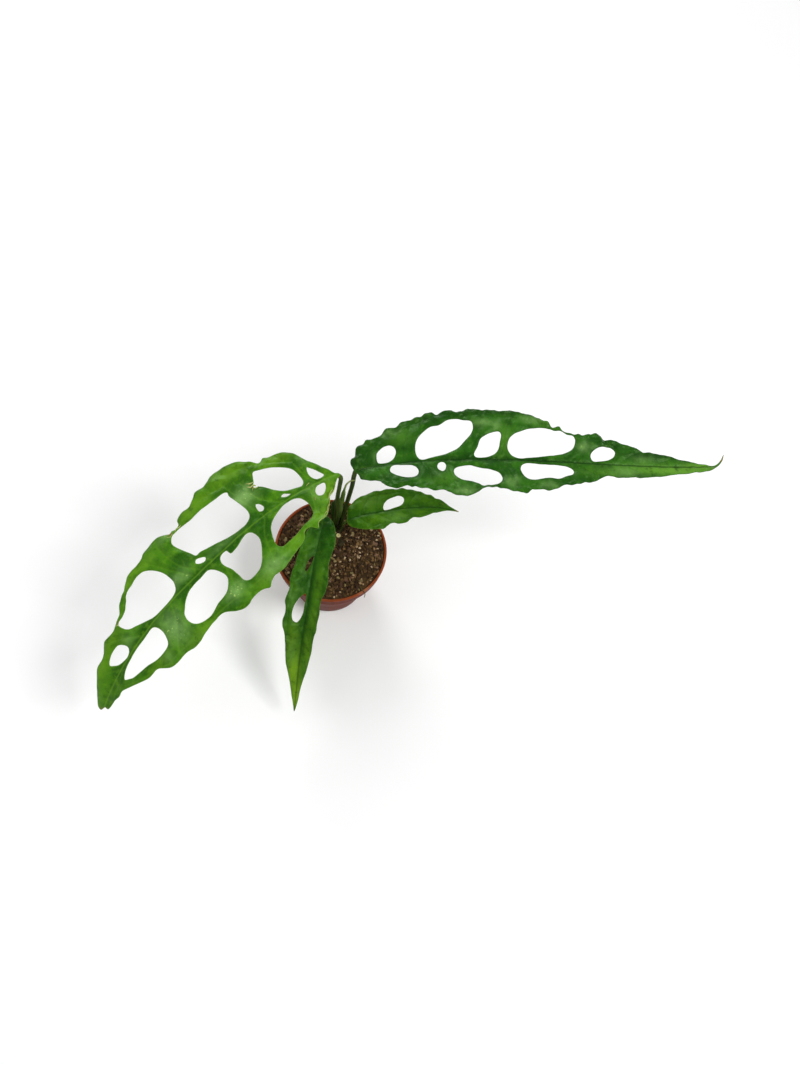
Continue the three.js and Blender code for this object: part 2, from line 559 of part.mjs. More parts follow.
/** A leaf blade: a thin sheet with its outline and holes, and a rib along its underside. */
function makeBlade(blade) {
  const form = new BladeForm(blade);
  const loops = [blade.outline, ...blade.holes].map(sampleLoop);
  const { points, triangles } = triangulate(form, loops);
  const ribAt = ([u, v]) => {
    const beside = Math.max(0, 1 - Math.abs(v - form.ribLine(u)) / ribHalfWidth);
    const depth = ribDepth * (1 - ribTaper * (u / form.length));
    return depth * beside * THREE.MathUtils.smoothstep(u, ...ribStart);
  };
  const top = points.map(([u, v]) => form.point(u, v, bladeThickness / 2).toArray());
  const bottom = points.map(([u, v]) => form.point(u, v, -bladeThickness / 2 - ribAt([u, v])).toArray());
  const under = points.length;
  const faces = [];
  const open = new Map();
  for (const [a, b, c] of triangles) {
    faces.push([a, b, c], [under + c, under + b, under + a]);
    for (const [from, to] of [[a, b], [b, c], [c, a]]) {
      if (!open.delete(`${to},${from}`)) open.set(`${from},${to}`, [from, to]);
    }
  }
  for (const [from, to] of open.values()) {
    faces.push([to, from, under + from], [to, under + from, under + to]);
  }
  return geometryOf([...top, ...bottom], faces);
}

/** The curve of a petiole, whose end lies along the underside of its blade. */
function petioleCurve({ route, section }, blade) {
  const form = new BladeForm(blade);
  const below = -(bladeThickness / 2 + petioleEndGap + section.at(-1)[2]);
  const ends = petioleReach.map((u) => form.point(u, form.ribLine(u), below));
  const points = [...route.map((point) => new THREE.Vector3(...point)), ...ends];
  return new THREE.CatmullRomCurve3(points, false, 'centripetal');
}

/** The pot's inner radius at a height. */
function innerRadius(z) {
  const low = potBaseRadius - potWall;
  const high = potRimRadius - lipOverhang - potWall;
  return low + ((high - low) * (z - potWall)) / (potHeight - potWall);
}

/** The pot: a tapered shell with a collar, a rolled lip and drain holes round a solid middle. */
function makePot() {
  const collarFoot = potHeight - collarHeight;
  const collarRadius = potRimRadius - lipOverhang;
  const bodyTop = innerRadius(collarFoot) + potWall;
  const profile = [
    [0, 0], [potBaseRadius - footRound, 0], [potBaseRadius, footRound],
    [bodyTop, collarFoot - collarBevel], [bodyTop + collarStep, collarFoot + collarBevel],
    [collarRadius, potHeight - lipHeight],
    [potRimRadius - lipRound / 2, potHeight - lipHeight + lipRound],
    [potRimRadius, potHeight - lipHeight / 2], [potRimRadius - lipRound / 2, potHeight - lipRound],
    [potRimRadius - lipRound * 2, potHeight],
    [innerRadius(potHeight), potHeight], [innerRadius(potWall), potWall], [0, potWall],
  ];
  let pot = toSolid(revolve(profile, potSegments));
  for (let i = 0; i < drainHoleCount; i += 1) {
    const angle = (2 * Math.PI * i) / drainHoleCount;
    const [x, y] = [drainRingRadius * Math.cos(angle), drainRingRadius * Math.sin(angle)];
    pot = pot.subtract(toSolid(upright(drainHoleRadius, -potWall, 2 * potWall, x, y, drainSegments)));
  }
  return toGeometry(pot);
}

/** The soil's height at a place, without its roughness. */
function soilHeight(x, y) {
  const fromStem = Math.hypot(x - stemCentre[0], y - stemCentre[1]);
  return potHeight - soilBrimDrop + soilHeap * Math.exp(-((fromStem / soilHeapSpread) ** 2));
}

/** The soil: a plug that fills the pot, with a rough heaped top, grains, and holes for the stems. */
function makeSoil(stemHoles) {
  const random = makeRandom(soilSeed);
  const foot = potWall + gap;
  const brim = soilHeight(0, -potRimRadius);
  const points = [[0, 0, soilHeight(0, 0)]];
  for (let ring = 1; ring <= soilRings; ring += 1) {
    const isRim = ring === soilRings;
    for (let i = 0; i < soilSectors; i += 1) {
      const angle = (2 * Math.PI * (i + (ring % 2) / 2)) / soilSectors;
      const radius = (ring / soilRings) * (innerRadius(brim) - gap);
      const [x, y] = [radius * Math.cos(angle), radius * Math.sin(angle)];
      const rough = isRim ? 0 : random(-soilRoughness, soilRoughness);
      points.push([x, y, isRim ? brim : soilHeight(x, y) + rough]);
    }
  }
  for (let i = 0; i < soilSectors; i += 1) {
    const angle = (2 * Math.PI * (i + (soilRings % 2) / 2)) / soilSectors;
    const radius = innerRadius(foot) - gap;
    points.push([radius * Math.cos(angle), radius * Math.sin(angle), foot]);
  }
  points.push([0, 0, foot]);
  const faces = [];
  for (let i = 0; i < soilSectors; i += 1) {
    const next = (i + 1) % soilSectors;
    faces.push([0, 1 + i, 1 + next]);
    for (let ring = 0; ring < soilRings; ring += 1) {
      const [near, far] = [1 + ring * soilSectors, 1 + (ring + 1) * soilSectors];
      faces.push([near + i, far + i, far + next], [near + i, far + next, near + next]);
    }
    const last = 1 + soilRings * soilSectors;
    faces.push([points.length - 1, last + next, last + i]);
  }
  let soil = toSolid(geometryOf(points, faces));
  for (let placed = 0; placed < grainCount;) {
    const radius = random(...grainRadius);
    const angle = random(0, 2 * Math.PI);
    const reach = Math.sqrt(random()) * (innerRadius(brim) - grainFromWall);
    const [x, y] = [reach * Math.cos(angle), reach * Math.sin(angle)];
    if (Math.hypot(x - stemCentre[0], y - stemCentre[1]) < stemRadius + grainFromStem) continue;
    const grain = new THREE.IcosahedronGeometry(radius, 0)
      .scale(1, random(...grainBreadth), grainDepth)
      .rotateZ(random(0, 2 * Math.PI))
      .translate(x, y, soilHeight(x, y) + radius * grainRaise);
    soil = soil.add(toSolid(grain));
    placed += 1;
  }
  for (const hole of stemHoles) soil = soil.subtract(hole);
  return toGeometry(soil);
}

/** The stem: a short crown above the soil, level where the petioles rise, and a buried shank. */
function makeStem() {
  const low = potHeight - stemBuried;
  const profile = [
    [0, low], [stemRadius - stemFootInset, low], [stemRadius, low + stemFootHeight],
    [stemRadius, stemTop - stemShoulder], [stemRadius - stemShoulder, stemTop], [0, stemTop],
  ];
  return revolve(profile, stemSegments).translate(...stemCentre, 0);
}

/** The stub of an old cut petiole, with a sunken pith in its pale cut face. */
function makeStub() {
  const [foot, top] = [new THREE.Vector3(...stubFoot), new THREE.Vector3(...stubTop)];
  const length = foot.distanceTo(top);
  const profile = [
    [0, 0], [stubRadius, 0], [stubRadius, length - stubEdge], [stubRadius - stubEdge, length],
    [stubPith, length], [stubPithFloor, length - stubPithDepth], [0, length - stubPithDepth],
  ];
  const lean = new THREE.Quaternion().setFromUnitVectors(
    new THREE.Vector3(0, 0, 1),
    top.clone().sub(foot).normalize(),
  );
  return revolve(profile, stubSegments).applyQuaternion(lean).translate(...stubFoot);
}

const curves = Object.fromEntries(Object.entries(petioles).map(
  ([name, petiole]) => [name, petioleCurve(petiole, blades[name])],
));
const holeTop = potHeight + holeAboveRim;
const stemHole = toSolid(upright(
  stemRadius + gap, potHeight - stemBuried - gap, holeTop, ...stemCentre, stemSegments,
));
const stubMiddle = [0, 1].map((axis) => (stubFoot[axis] + stubTop[axis]) / 2);
const stubHole = toSolid(upright(
  stubRadius + stubHoleGap, stubFoot[2] - gap, holeTop, ...stubMiddle, stemSegments,
));

const colours = {
  pot: [0xb4603f, 0.62],
  soil: [0x3d2a1e, 0.98],
  stem: [0x4a4a26, 0.75],
  cut_stub: [0xcdbf95, 0.85],
  withered_sheath: [0x8d9a55, 0.8],
  petiole_left: [0x3c4a20, 0.6],
  petiole_right: [0x34461f, 0.6],
  petiole_small: [0x55682c, 0.6],
  petiole_front: [0x44571f, 0.6],
  leaf_left: [0x46851c, 0.42],
  leaf_right: [0x2b6b26, 0.4],
  leaf_small: [0x3a6f18, 0.42],
  leaf_front: [0x2f7020, 0.42],
};

const plant = new THREE.Group();

/** Adds one named mesh to the plant. */
function place(name, geometry) {
  const [color, roughness] = colours[name];
  const mesh = new THREE.Mesh(geometry, new THREE.MeshStandardMaterial({ color, roughness, metalness: 0 }));
  mesh.name = name;
  plant.add(mesh);
}

place('pot', makePot());
place('soil', makeSoil([stemHole, stubHole]));
place('stem', makeStem());
place('cut_stub', makeStub());
const tongueRoute = new THREE.CatmullRomCurve3(tongue.route.map((point) => new THREE.Vector3(...point)));
place('withered_sheath', sweep(tongueRoute, tongue));
for (const [name, petiole] of Object.entries(petioles)) {
  place(`petiole_${name}`, sweep(curves[name], petiole));
}
for (const [name, blade] of Object.entries(blades)) {
  place(`leaf_${name}`, makeBlade(blade));
}

export default plant;
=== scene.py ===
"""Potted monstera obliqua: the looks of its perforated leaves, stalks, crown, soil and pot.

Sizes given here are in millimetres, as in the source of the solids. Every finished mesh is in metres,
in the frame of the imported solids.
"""
import logging
import math
from collections.abc import Sequence
from dataclasses import dataclass, field
from enum import Enum

import bpy
import numpy as np
from mathutils import Matrix, Vector, noise
from mathutils.geometry import delaunay_2d_cdt
from mathutils.kdtree import KDTree


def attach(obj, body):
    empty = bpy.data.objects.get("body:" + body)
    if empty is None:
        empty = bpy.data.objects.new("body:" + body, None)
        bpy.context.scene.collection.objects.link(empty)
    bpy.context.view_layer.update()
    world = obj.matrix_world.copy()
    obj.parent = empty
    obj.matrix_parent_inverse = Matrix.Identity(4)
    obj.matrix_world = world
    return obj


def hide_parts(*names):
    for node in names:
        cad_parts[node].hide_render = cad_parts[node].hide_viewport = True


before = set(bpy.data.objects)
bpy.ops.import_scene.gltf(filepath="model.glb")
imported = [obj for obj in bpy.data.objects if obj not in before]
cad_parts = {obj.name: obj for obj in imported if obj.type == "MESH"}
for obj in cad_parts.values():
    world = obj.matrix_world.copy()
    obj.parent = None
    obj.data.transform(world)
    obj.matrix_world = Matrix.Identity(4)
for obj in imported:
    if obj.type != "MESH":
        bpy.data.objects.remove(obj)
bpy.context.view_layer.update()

log = logging.getLogger("monstera")

MM = 0.001
BODY = "root"
TINY = 1e-12
LEAST_SPAN = 1e-4
SAME_POINT = 1e-5

Colour = tuple[float, float, float, float]
Point = tuple[float, ...]
Line = tuple[Point, ...]
Faces = list[tuple[int, ...]]
Array = np.ndarray
Piece = bpy.types.Object


def rgb(red: int, green: int, blue: int) -> Colour:
    """A linear colour from its three sRGB bytes."""
    shares = (red / 255, green / 255, blue / 255)
    linear = (c / 12.92 if c <= 0.04045 else ((c + 0.055) / 1.055) ** 2.4 for c in shares)
    return (*linear, 1.0)


class Tint(Enum):
    """What a patch does to the colour of a blade; the value is the mesh attribute's name."""

    # Painted sheen: whitish-green patches where the glossy leaf would catch a light; two thin strips by the
    # left blade's base are its pale rim.
    PAINTED_SHEEN_AND_PALE_RIM = "pale"
    BRIGHT = "bright"
    # Painted shade: darker patches beside the midrib, in hollows and on the shaded halves of the leaves.
    DARK = "dark"
    DRY = "dry"


class GrainForm(Enum):
    """The form of a loose bit of potting mix."""

    LUMP = "lump"
    CHIP = "chip"
    FIBRE = "fibre"


# Node trees


class Value:
    """A node socket that takes part in Python expressions."""

    def __init__(self, graph: "Graph", socket: bpy.types.NodeSocket) -> None:
        """Wraps a socket of a graph."""
        self.graph = graph
        self.socket = socket

    def sibling(self, name: str) -> "Value":
        """Another output of the same node."""
        return Value(self.graph, self.socket.node.outputs[name])

    def __add__(self, other: "Number") -> "Value":
        """The sum of two values."""
        return self.graph.maths("ADD", self, other)

    __radd__ = __add__

    def __sub__(self, other: "Number") -> "Value":
        """This value less another."""
        return self.graph.maths("SUBTRACT", self, other)

    def __rsub__(self, other: "Number") -> "Value":
        """Another value less this one."""
        return self.graph.maths("SUBTRACT", other, self)

    def __mul__(self, other: "Number") -> "Value":
        """The product of two values."""
        return self.graph.maths("MULTIPLY", self, other)

    __rmul__ = __mul__

    def __pow__(self, other: "Number") -> "Value":
        """This value raised to another."""
        return self.graph.maths("POWER", self, other)


Number = Value | float


class Graph:
    """A node tree that is written as calls and expressions."""

    def __init__(self, tree: bpy.types.NodeTree) -> None:
        """Empties the tree and writes to it."""
        self.tree = tree
        tree.nodes.clear()

    def add(
        self,
        kind: str,
        inputs: dict[str | int, object] | None = None,
        output: str | int = 0,
        **settings: object,
    ) -> Value:
        """Adds a node.

        Args:
            kind: The node's type.
            inputs: A number, colour, name or linked value for each named or numbered socket.
            output: The socket that the result stands for.
            settings: The node's own properties, set before its sockets; stops are those of a ramp.

        Returns:
            The chosen output socket.
        """
        node = self.tree.nodes.new(kind)
        for name, setting in settings.items():
            if name == "stops":
                self._set_stops(node, setting)
            else:
                setattr(node, name, setting)
        for key, value in (inputs or {}).items():
            if isinstance(value, Value):
                self.tree.links.new(value.socket, node.inputs[key])
            else:
                node.inputs[key].default_value = value
        outputs = node.outputs
        return Value(self, outputs[output]) if len(outputs) else Value(self, node.inputs[0])

    @staticmethod
    def _set_stops(node: bpy.types.Node, stops: Sequence[tuple[float, Colour]]) -> None:
        """Gives a colour ramp its stops."""
        elements = node.color_ramp.elements
        while len(elements) < len(stops):
            elements.new(1.0)
        for element, (place, colour) in zip(elements, stops):
            element.position = place
            element.color = colour

    def maths(self, operation: str, *values: Number) -> Value:
        """A Math node on one to three values."""
        return self.add("ShaderNodeMath", dict(enumerate(values)), operation=operation)

    def mix(self, share: Number, start: Value | Colour, end: Value | Colour) -> Value:
        """The colour between two others at a share."""
        inputs = {0: share, 6: start, 7: end}
        return self.add("ShaderNodeMix", inputs, 2, data_type="RGBA", clamp_factor=True)

    def over(self, base: Value | Colour, *layers: tuple[Number, Value | Colour]) -> Value:
        """Lays further colours over a first one, each at its share."""
        for share, colour in layers:
            base = self.mix(share, base, colour)
        return base

    def smooth(self, value: Value, low: float, high: float) -> Value:
        """A soft step from 0 at the low value to 1 at the high one."""
        inputs = {"Value": value, "From Min": low, "From Max": high}
        return self.add("ShaderNodeMapRange", inputs, interpolation_type="SMOOTHSTEP")

    def noise(self, place: Value, scale: float, detail: float = 2.0, roughness: float = 0.5) -> Value:
        """A soft noise between 0 and 1."""
        inputs = {"Vector": place, "Scale": scale, "Detail": detail, "Roughness": roughness}
        return self.add("ShaderNodeTexNoise", inputs)

    def cells(self, place: Value, scale: float) -> Value:
        """The distance to the nearest edge of a net of cells."""
        inputs = {"Vector": place, "Scale": scale}
        return self.add("ShaderNodeTexVoronoi", inputs, feature="DISTANCE_TO_EDGE")

    def attribute(self, name: str) -> Value:
        """A number that the mesh carries at each point."""
        return self.add("ShaderNodeAttribute", output="Fac", attribute_name=name)

    def place(self, stretch: Point = (1, 1, 1)) -> Value:
        """The place on the object, stretched along its axes."""
        place = self.add("ShaderNodeTexCoord", output="Object")
        if stretch == (1, 1, 1):
            return place
        return self.add("ShaderNodeMapping", {"Vector": place, "Scale": stretch})

    def scaled(self, vector: Value, size: Number) -> Value:
        """A vector made longer or shorter."""
        return self.add("ShaderNodeVectorMath", {0: vector, "Scale": size}, operation="SCALE")

    def moved(self, mesh: Value, offset: Value) -> Value:
        """A mesh or cloud of points, each point of it moved by an offset."""
        return self.add("GeometryNodeSetPosition", {"Geometry": mesh, "Offset": offset})

    def surface(
        self,
        colour: Value | Colour,
        roughness: Number,
        height: Value | None = None,
        depth: float = 0.0,
        **fixed: object,
    ) -> None:
        """Ends the graph in a principled surface.

        Args:
            colour: Base colour.
            roughness: Roughness.
            height: Relief for the bump, from 0 to 1.
            depth: How deep that relief is, in metres.
            fixed: Constants for further sockets, with an underscore for each space.
        """
        inputs = {name.replace("_", " "): value for name, value in fixed.items()}
        inputs |= {"Base Color": colour, "Roughness": roughness}
        if height is not None:
            inputs["Normal"] = self.add("ShaderNodeBump", {"Height": height, "Distance": depth})
        shader = self.add("ShaderNodeBsdfPrincipled", inputs)
        self.add("ShaderNodeOutputMaterial", {"Surface": shader})


def place_object(name: str, data: bpy.types.ID) -> Piece:
    """Puts a mesh, light or camera into the scene."""
    placed = bpy.data.objects.new(name, data)
    bpy.context.scene.collection.objects.link(placed)
    return placed


@dataclass
class Recipe:
    """A geometry node tree with named sizes, and the way to run it once on a mesh."""

    name: str
    sizes: dict[str, float | int]
    graph: Graph = field(init=False)
    source: Value = field(init=False)

    def __post_init__(self) -> None:
        """Starts the tree with its inputs."""
        tree = bpy.data.node_groups.new(self.name, "GeometryNodeTree")
        self.graph = Graph(tree)
        sockets = tree.interface
        sockets.new_socket("Mesh", in_out="OUTPUT", socket_type="NodeSocketGeometry")
        sockets.new_socket("Mesh", in_out="INPUT", socket_type="NodeSocketGeometry")
        for name, size in self.sizes.items():
            kind = "NodeSocketInt" if isinstance(size, int) else "NodeSocketFloat"
            sockets.new_socket(name, in_out="INPUT", socket_type=kind)
        self.source = self.graph.add("NodeGroupInput")

    def size(self, name: str) -> Value:
        """One of the tree's named sizes."""
        return self.source.sibling(name)

    def end(self, mesh: Value, finish: bpy.types.Material) -> None:
        """Realizes what was grown, gives it its material and closes the tree."""
        add = self.graph.add
        real = add("GeometryNodeRealizeInstances", {"Geometry": mesh})
        dressed = add("GeometryNodeSetMaterial", {"Geometry": real, "Material": finish})
        add("NodeGroupOutput", {"Mesh": dressed})

    def run(self, name: str, host: bpy.types.Mesh) -> Piece:
        """Grows a piece.

        Args:
            name: The new piece's name.
            host: The mesh that the tree starts from.

        Returns:
            A plain mesh object, with no modifier left.
        """
        carrier = place_object(name + "_host", host)
        modifier = carrier.modifiers.new(self.name, "NODES")
        modifier.node_group = self.graph.tree
        for item in self.graph.tree.interface.items_tree:
            if item.in_out == "INPUT" and item.name in self.sizes:
                modifier[item.identifier] = self.sizes[item.name]
        grown = carrier.evaluated_get(bpy.context.evaluated_depsgraph_get())
        mesh = bpy.data.meshes.new_from_object(grown)
        mesh.name = name
        bpy.data.objects.remove(carrier)
        return place_object(name, mesh)


# Finishes


@dataclass(frozen=True)
class Finish:
    """A named procedural material."""

    name: str

    def paint(self, graph: Graph) -> None:
        """Writes the material's nodes."""
        raise NotImplementedError

    def material(self) -> bpy.types.Material:
        """The material, made once."""
        found = bpy.data.materials.get(self.name)
        if found:
            return found
        material = bpy.data.materials.new(self.name)
        material.use_nodes = True
        self.paint(Graph(material.node_tree))
        return material


@dataclass(frozen=True)
class LeafFinish(Finish):
    """A waxy leaf: clouded green, with ribs, margin, painted sheen and glints, painted shade and dried spots
    from the mesh.
    """

    deep: Colour
    main: Colour
    light: Colour
    shadow: Colour
    vein: Colour
    rib: Colour
    rib_share: float = 0.6
    vein_share: float = 0.2
    # Sheen colour: painted sheen where the pale attribute lies, and the pale rim near the left blade's base.
    sheen: Colour = rgb(132, 174, 98)
    # Painted glints: tiny bright points inside the painted sheen.
    painted_glint: Colour = rgb(178, 208, 110)
    speck_and_glint_share: float = 0.35
    light_share: float = 0.4
    shadow_share: float = 0.55
    net_share: float = 0.1
    margin_share: float = 0.6
    under_share: float = 0.7
    margin: Colour = rgb(100, 140, 40)
    under: Colour = rgb(100, 142, 62)
    dry: Colour = rgb(112, 104, 44)
    gloss: float = 0.34
    relief: float = 0.00008

    def paint(self, graph: Graph) -> None:
        """Writes the leaf's nodes."""
        place = graph.place()
        cloud = graph.noise(place, 70, 3)
        mottle = graph.noise(place, 190, 3, 0.6)
        fleck = graph.noise(place, 620, 2)
        net = graph.smooth(graph.cells(place, 620), 0.0, 0.16)
        under = graph.attribute("under")
        dry = graph.attribute("dry")
        # The pale attribute marks the painted sheen.
        pale = graph.attribute("pale")
        # Painted glints: where the fine noise peaks inside the painted sheen.
        painted_glints = graph.smooth(fleck, 0.63, 0.69) * graph.smooth(pale, 0.3, 0.6)
        base = graph.over(
            self.deep,
            (graph.smooth(cloud, 0.4, 0.62), self.main),
            (graph.attribute("bright"), self.light),
            # Painted shade where the dark attribute lies.
            (graph.attribute("dark"), self.shadow),
            (graph.smooth(mottle, 0.52, 0.72) * self.light_share, self.light),
            ((1 - graph.smooth(mottle, 0.28, 0.48)) * self.shadow_share, self.shadow),
            (graph.attribute("vein") * self.vein_share, self.vein),
            (graph.attribute("rib") * self.rib_share, self.rib),
            # Painted sheen, and the pale rim near the left blade's base.
            (pale * (0.25 + mottle * 1.1), self.sheen),
            ((1 - net) * self.net_share, self.vein),
            # Painted glints.
            (painted_glints * self.speck_and_glint_share, self.painted_glint),
            ((1 - graph.smooth(graph.attribute("edge"), 0.02, 0.09)) * self.margin_share, self.margin),
            (under * self.under_share, self.under),
            (graph.smooth(dry + (fleck - 0.5) * 0.5, 0.25, 0.6), self.dry),
        )
        roughness = self.gloss + (fleck - 0.5) * 0.2 + under * 0.2 + dry * 0.3
        graph.surface(
            base, roughness, net * 0.5 + fleck * 0.5, self.relief,
            Subsurface_Weight=0.1, Subsurface_Radius=(0.5, 1.0, 0.2), Subsurface_Scale=0.001,
            Specular_IOR_Level=0.22, Specular_Tint=(0.55, 1.0, 0.35, 1.0),
        )


@dataclass(frozen=True)
class StalkFinish(Finish):
    """A leaf stalk: dark olive, streaked along its length, paler where the mesh's attribute says: new growth
    on the stalks, the dried top of the tongue, and painted light with an olive tint on the lit side of the
    sheath wings.
    """

    dark: Colour
    pale: Colour
    young_and_lit: Colour
    speck_and_glint_share: float = 0.5
    relief: float = 0.00009

    def paint(self, graph: Graph) -> None:
        """Writes the stalk's nodes."""
        streak = graph.noise(graph.place((900, 900, 60)), 1, 3)
        spot = graph.noise(graph.place(), 1400, 2)
        base = graph.over(
            self.dark,
            (graph.smooth(streak, 0.35, 0.68), self.pale),
            (graph.attribute("young_and_lit"), self.young_and_lit),
            (graph.smooth(spot, 0.66, 0.74) * self.speck_and_glint_share, self.young_and_lit),
        )
        graph.surface(base, 0.42 + spot * 0.2, streak * 0.6 + spot * 0.4, self.relief,
                      Specular_IOR_Level=0.14)


@dataclass(frozen=True)
class MottledFinish(Finish):
    """A dry or earthy stuff: a ramp of colours over two noises and each grain's own tint."""

    tones: tuple[Colour, Colour, Colour]
    coarse: float
    fine: float
    low: float = 0.25
    high: float = 0.75
    stretch: Point = (1, 1, 1)
    tint: float = 0.0
    dullness: float = 0.85
    relief: float = 0.0001

    def paint(self, graph: Graph) -> None:
        """Writes the nodes."""
        place = graph.place(self.stretch)
        coarse = graph.noise(place, self.coarse, 3)
        fine = graph.noise(place, self.fine, 4, 0.65)
        tone = coarse * (0.7 - 0.7 * self.tint) + fine * (0.3 + 0.1 * self.tint)
        if self.tint:
            tone = tone + graph.attribute("tint") * (0.6 * self.tint)
        stops = tuple(zip((self.low, 0.5, self.high), self.tones))
        colour = graph.add("ShaderNodeValToRGB", {"Fac": tone}, stops=stops)
        graph.surface(colour, self.dullness + (fine - 0.5) * 0.2, fine * 0.7 + coarse * 0.3, self.relief,
                      Specular_IOR_Level=0.25)


@dataclass(frozen=True)
class StubFinish(Finish):
    """A cut stalk: brown skin, and a pale corky face with a ring of darker bundles."""

    skin: Colour
    face: Colour
    pith: Colour
    relief: float = 0.00012

    def paint(self, graph: Graph) -> None:
        """Writes the stub's nodes."""
        grain = graph.noise(graph.place(), 1500, 3)
        skin = graph.mix(graph.smooth(grain, 0.35, 0.65), self.skin, self.pith)
        face = graph.mix(graph.smooth(graph.attribute("pith") + (grain - 0.5) * 0.5, 0.3, 0.7),
                         self.face, self.pith)
        base = graph.mix(graph.smooth(graph.attribute("cut"), 0.4, 0.6), skin, face)
        graph.surface(base, 0.8 + (grain - 0.5) * 0.2, grain, self.relief)


@dataclass(frozen=True)
class PotFinish(Finish):
    """Moulded terracotta-coloured plastic with a lighter lip that is partly wear and partly a painted
    highlight, scratches, dust and a trace of lime.
    """

    body: Colour
    shade: Colour
    wear_and_highlight: Colour
    lime: Colour
    rim_height: float
    lip_zone: tuple[float, float] = (0.004, 0.0004)
    foot_zone: tuple[float, float] = (0.001, 0.009)
    relief: float = 0.00006

    def paint(self, graph: Graph) -> None:
        """Writes the pot's nodes."""
        place = graph.place()
        height = graph.add("ShaderNodeSeparateXYZ", {"Vector": place}, "Z")
        cloud = graph.noise(place, 38, 3)
        flow = graph.noise(graph.place((260, 260, 22)), 1, 2)
        grain = graph.noise(place, 1600, 2)
        scratch = graph.noise(graph.place((40, 40, 1900)), 1, 2)
        near_rim = graph.smooth(height, *(self.rim_height - drop for drop in self.lip_zone))
        low = 1 - graph.smooth(height, *self.foot_zone)
        base = graph.over(
            self.shade,
            (graph.smooth(cloud * 0.6 + flow * 0.4, 0.38, 0.62), self.body),
            # Lighter lip: partly wear, partly a painted highlight on the lip's top.
            (near_rim * 0.6, self.wear_and_highlight),
            (graph.smooth(scratch + cloud * 0.3, 0.83, 0.92) * 0.4, self.wear_and_highlight),
            (graph.smooth(cloud + grain * 0.25, 0.62, 0.74) * (near_rim + low) * 0.3, self.lime),
        )
        graph.surface(base, 0.46 + (cloud - 0.5) * 0.25 + near_rim * 0.05, grain * 0.6 + flow * 0.4,
                      self.relief, Specular_IOR_Level=0.04)


@dataclass(frozen=True)
class FloorFinish(Finish):
    """A plain pale floor with the faintest mottle."""

    colour: Colour
    mottle: Colour

    def paint(self, graph: Graph) -> None:
        """Writes the floor's nodes."""
        cloud = graph.noise(graph.place(), 6, 4)
        graph.surface(graph.mix(cloud, self.colour, self.mottle), 0.8, None,
                      Specular_IOR_Level=0.1)


LEAF_PALE = LeafFinish(
    "leaf_pale_green", deep=rgb(36, 88, 6), main=rgb(66, 120, 14), light=rgb(104, 152, 28),
    shadow=rgb(16, 66, 4), vein=rgb(90, 140, 26), rib=rgb(104, 152, 34), rib_share=0.55,
    vein_share=0.35, speck_and_glint_share=0.7,
)
# On this leaf and the two below, the dark rib and vein colours are partly painted shade in the sunken midrib
# and veins, partly their own darker green.
LEAF_MID = LeafFinish(
    "leaf_mid_green", deep=rgb(42, 88, 6), main=rgb(58, 108, 10), light=rgb(86, 130, 18),
    shadow=rgb(24, 64, 4), vein=rgb(32, 78, 8), rib=rgb(16, 54, 4), rib_share=0.8, vein_share=0.4,
    margin=rgb(88, 112, 30), gloss=0.38,
)
LEAF_DEEP = LeafFinish(
    "leaf_deep_green", deep=rgb(28, 78, 10), main=rgb(44, 98, 18), light=rgb(94, 146, 44),
    shadow=rgb(10, 48, 6), vein=rgb(24, 72, 10), rib=rgb(6, 40, 4), rib_share=0.85,
    margin=rgb(44, 74, 22), light_share=0.22,
)
LEAF_FRONT = LeafFinish(
    "leaf_front_green", deep=rgb(32, 80, 8), main=rgb(48, 98, 14), light=rgb(116, 156, 30),
    shadow=rgb(8, 46, 4), vein=rgb(22, 74, 6), rib=rgb(12, 52, 4), margin=rgb(70, 100, 32),
    light_share=0.12, gloss=0.4,
)
STALK = StalkFinish("stalk_olive", dark=rgb(30, 42, 8), pale=rgb(56, 74, 18), young_and_lit=rgb(92, 112, 36))
SHEATH = StalkFinish("sheath_green", dark=rgb(22, 46, 2), pale=rgb(38, 68, 8),
                     young_and_lit=rgb(96, 118, 52))
TONGUE = StalkFinish("tongue_green", dark=rgb(76, 106, 36), pale=rgb(112, 138, 62),
                     young_and_lit=rgb(150, 158, 92))
CROWN = MottledFinish("crown_brown", (rgb(30, 24, 12), rgb(52, 46, 22), rgb(78, 72, 36)), 260, 1100,
                      low=0.3, high=0.7, stretch=(1, 1, 0.25))
PAPER = MottledFinish("papery_brown", (rgb(84, 56, 34), rgb(128, 94, 58), rgb(168, 138, 92)), 300, 1300,
                      low=0.3, high=0.7, stretch=(1, 1, 0.2))
STUB = StubFinish("stub_cork", skin=rgb(74, 60, 34), face=rgb(226, 212, 150), pith=rgb(110, 92, 50))
SOIL = MottledFinish("soil_dark", (rgb(32, 20, 8), rgb(60, 42, 20), rgb(94, 71, 36)), 320, 1500,
                     low=0.3, high=0.72, dullness=0.92, relief=0.0003)
CRUMB = MottledFinish("soil_crumb", (rgb(36, 22, 9), rgb(76, 52, 27), rgb(122, 93, 56)), 500, 2200,
                      tint=0.8, dullness=0.92)
HUSK = MottledFinish("soil_husk", (rgb(80, 66, 36), rgb(122, 105, 64), rgb(166, 150, 104)), 260, 1500,
                     low=0.2, high=0.8, tint=0.6, dullness=0.9)
GRIT = MottledFinish("soil_grit", (rgb(120, 94, 64), rgb(164, 134, 98), rgb(216, 192, 160)), 500, 2400,
                     low=0.2, high=0.8, tint=0.8)
BARK = MottledFinish("bark_chip", (rgb(46, 28, 17), rgb(84, 57, 39), rgb(132, 102, 80)), 300, 1700,
                     low=0.22, high=0.78, tint=0.8, dullness=0.88)
FIBRE = MottledFinish("root_fibre", (rgb(78, 56, 36), rgb(118, 92, 62), rgb(160, 134, 98)), 400, 1800,
                      tint=0.5)
ROOT = MottledFinish("root_olive", (rgb(52, 44, 22), rgb(84, 74, 40), rgb(124, 108, 68)), 400, 1800)
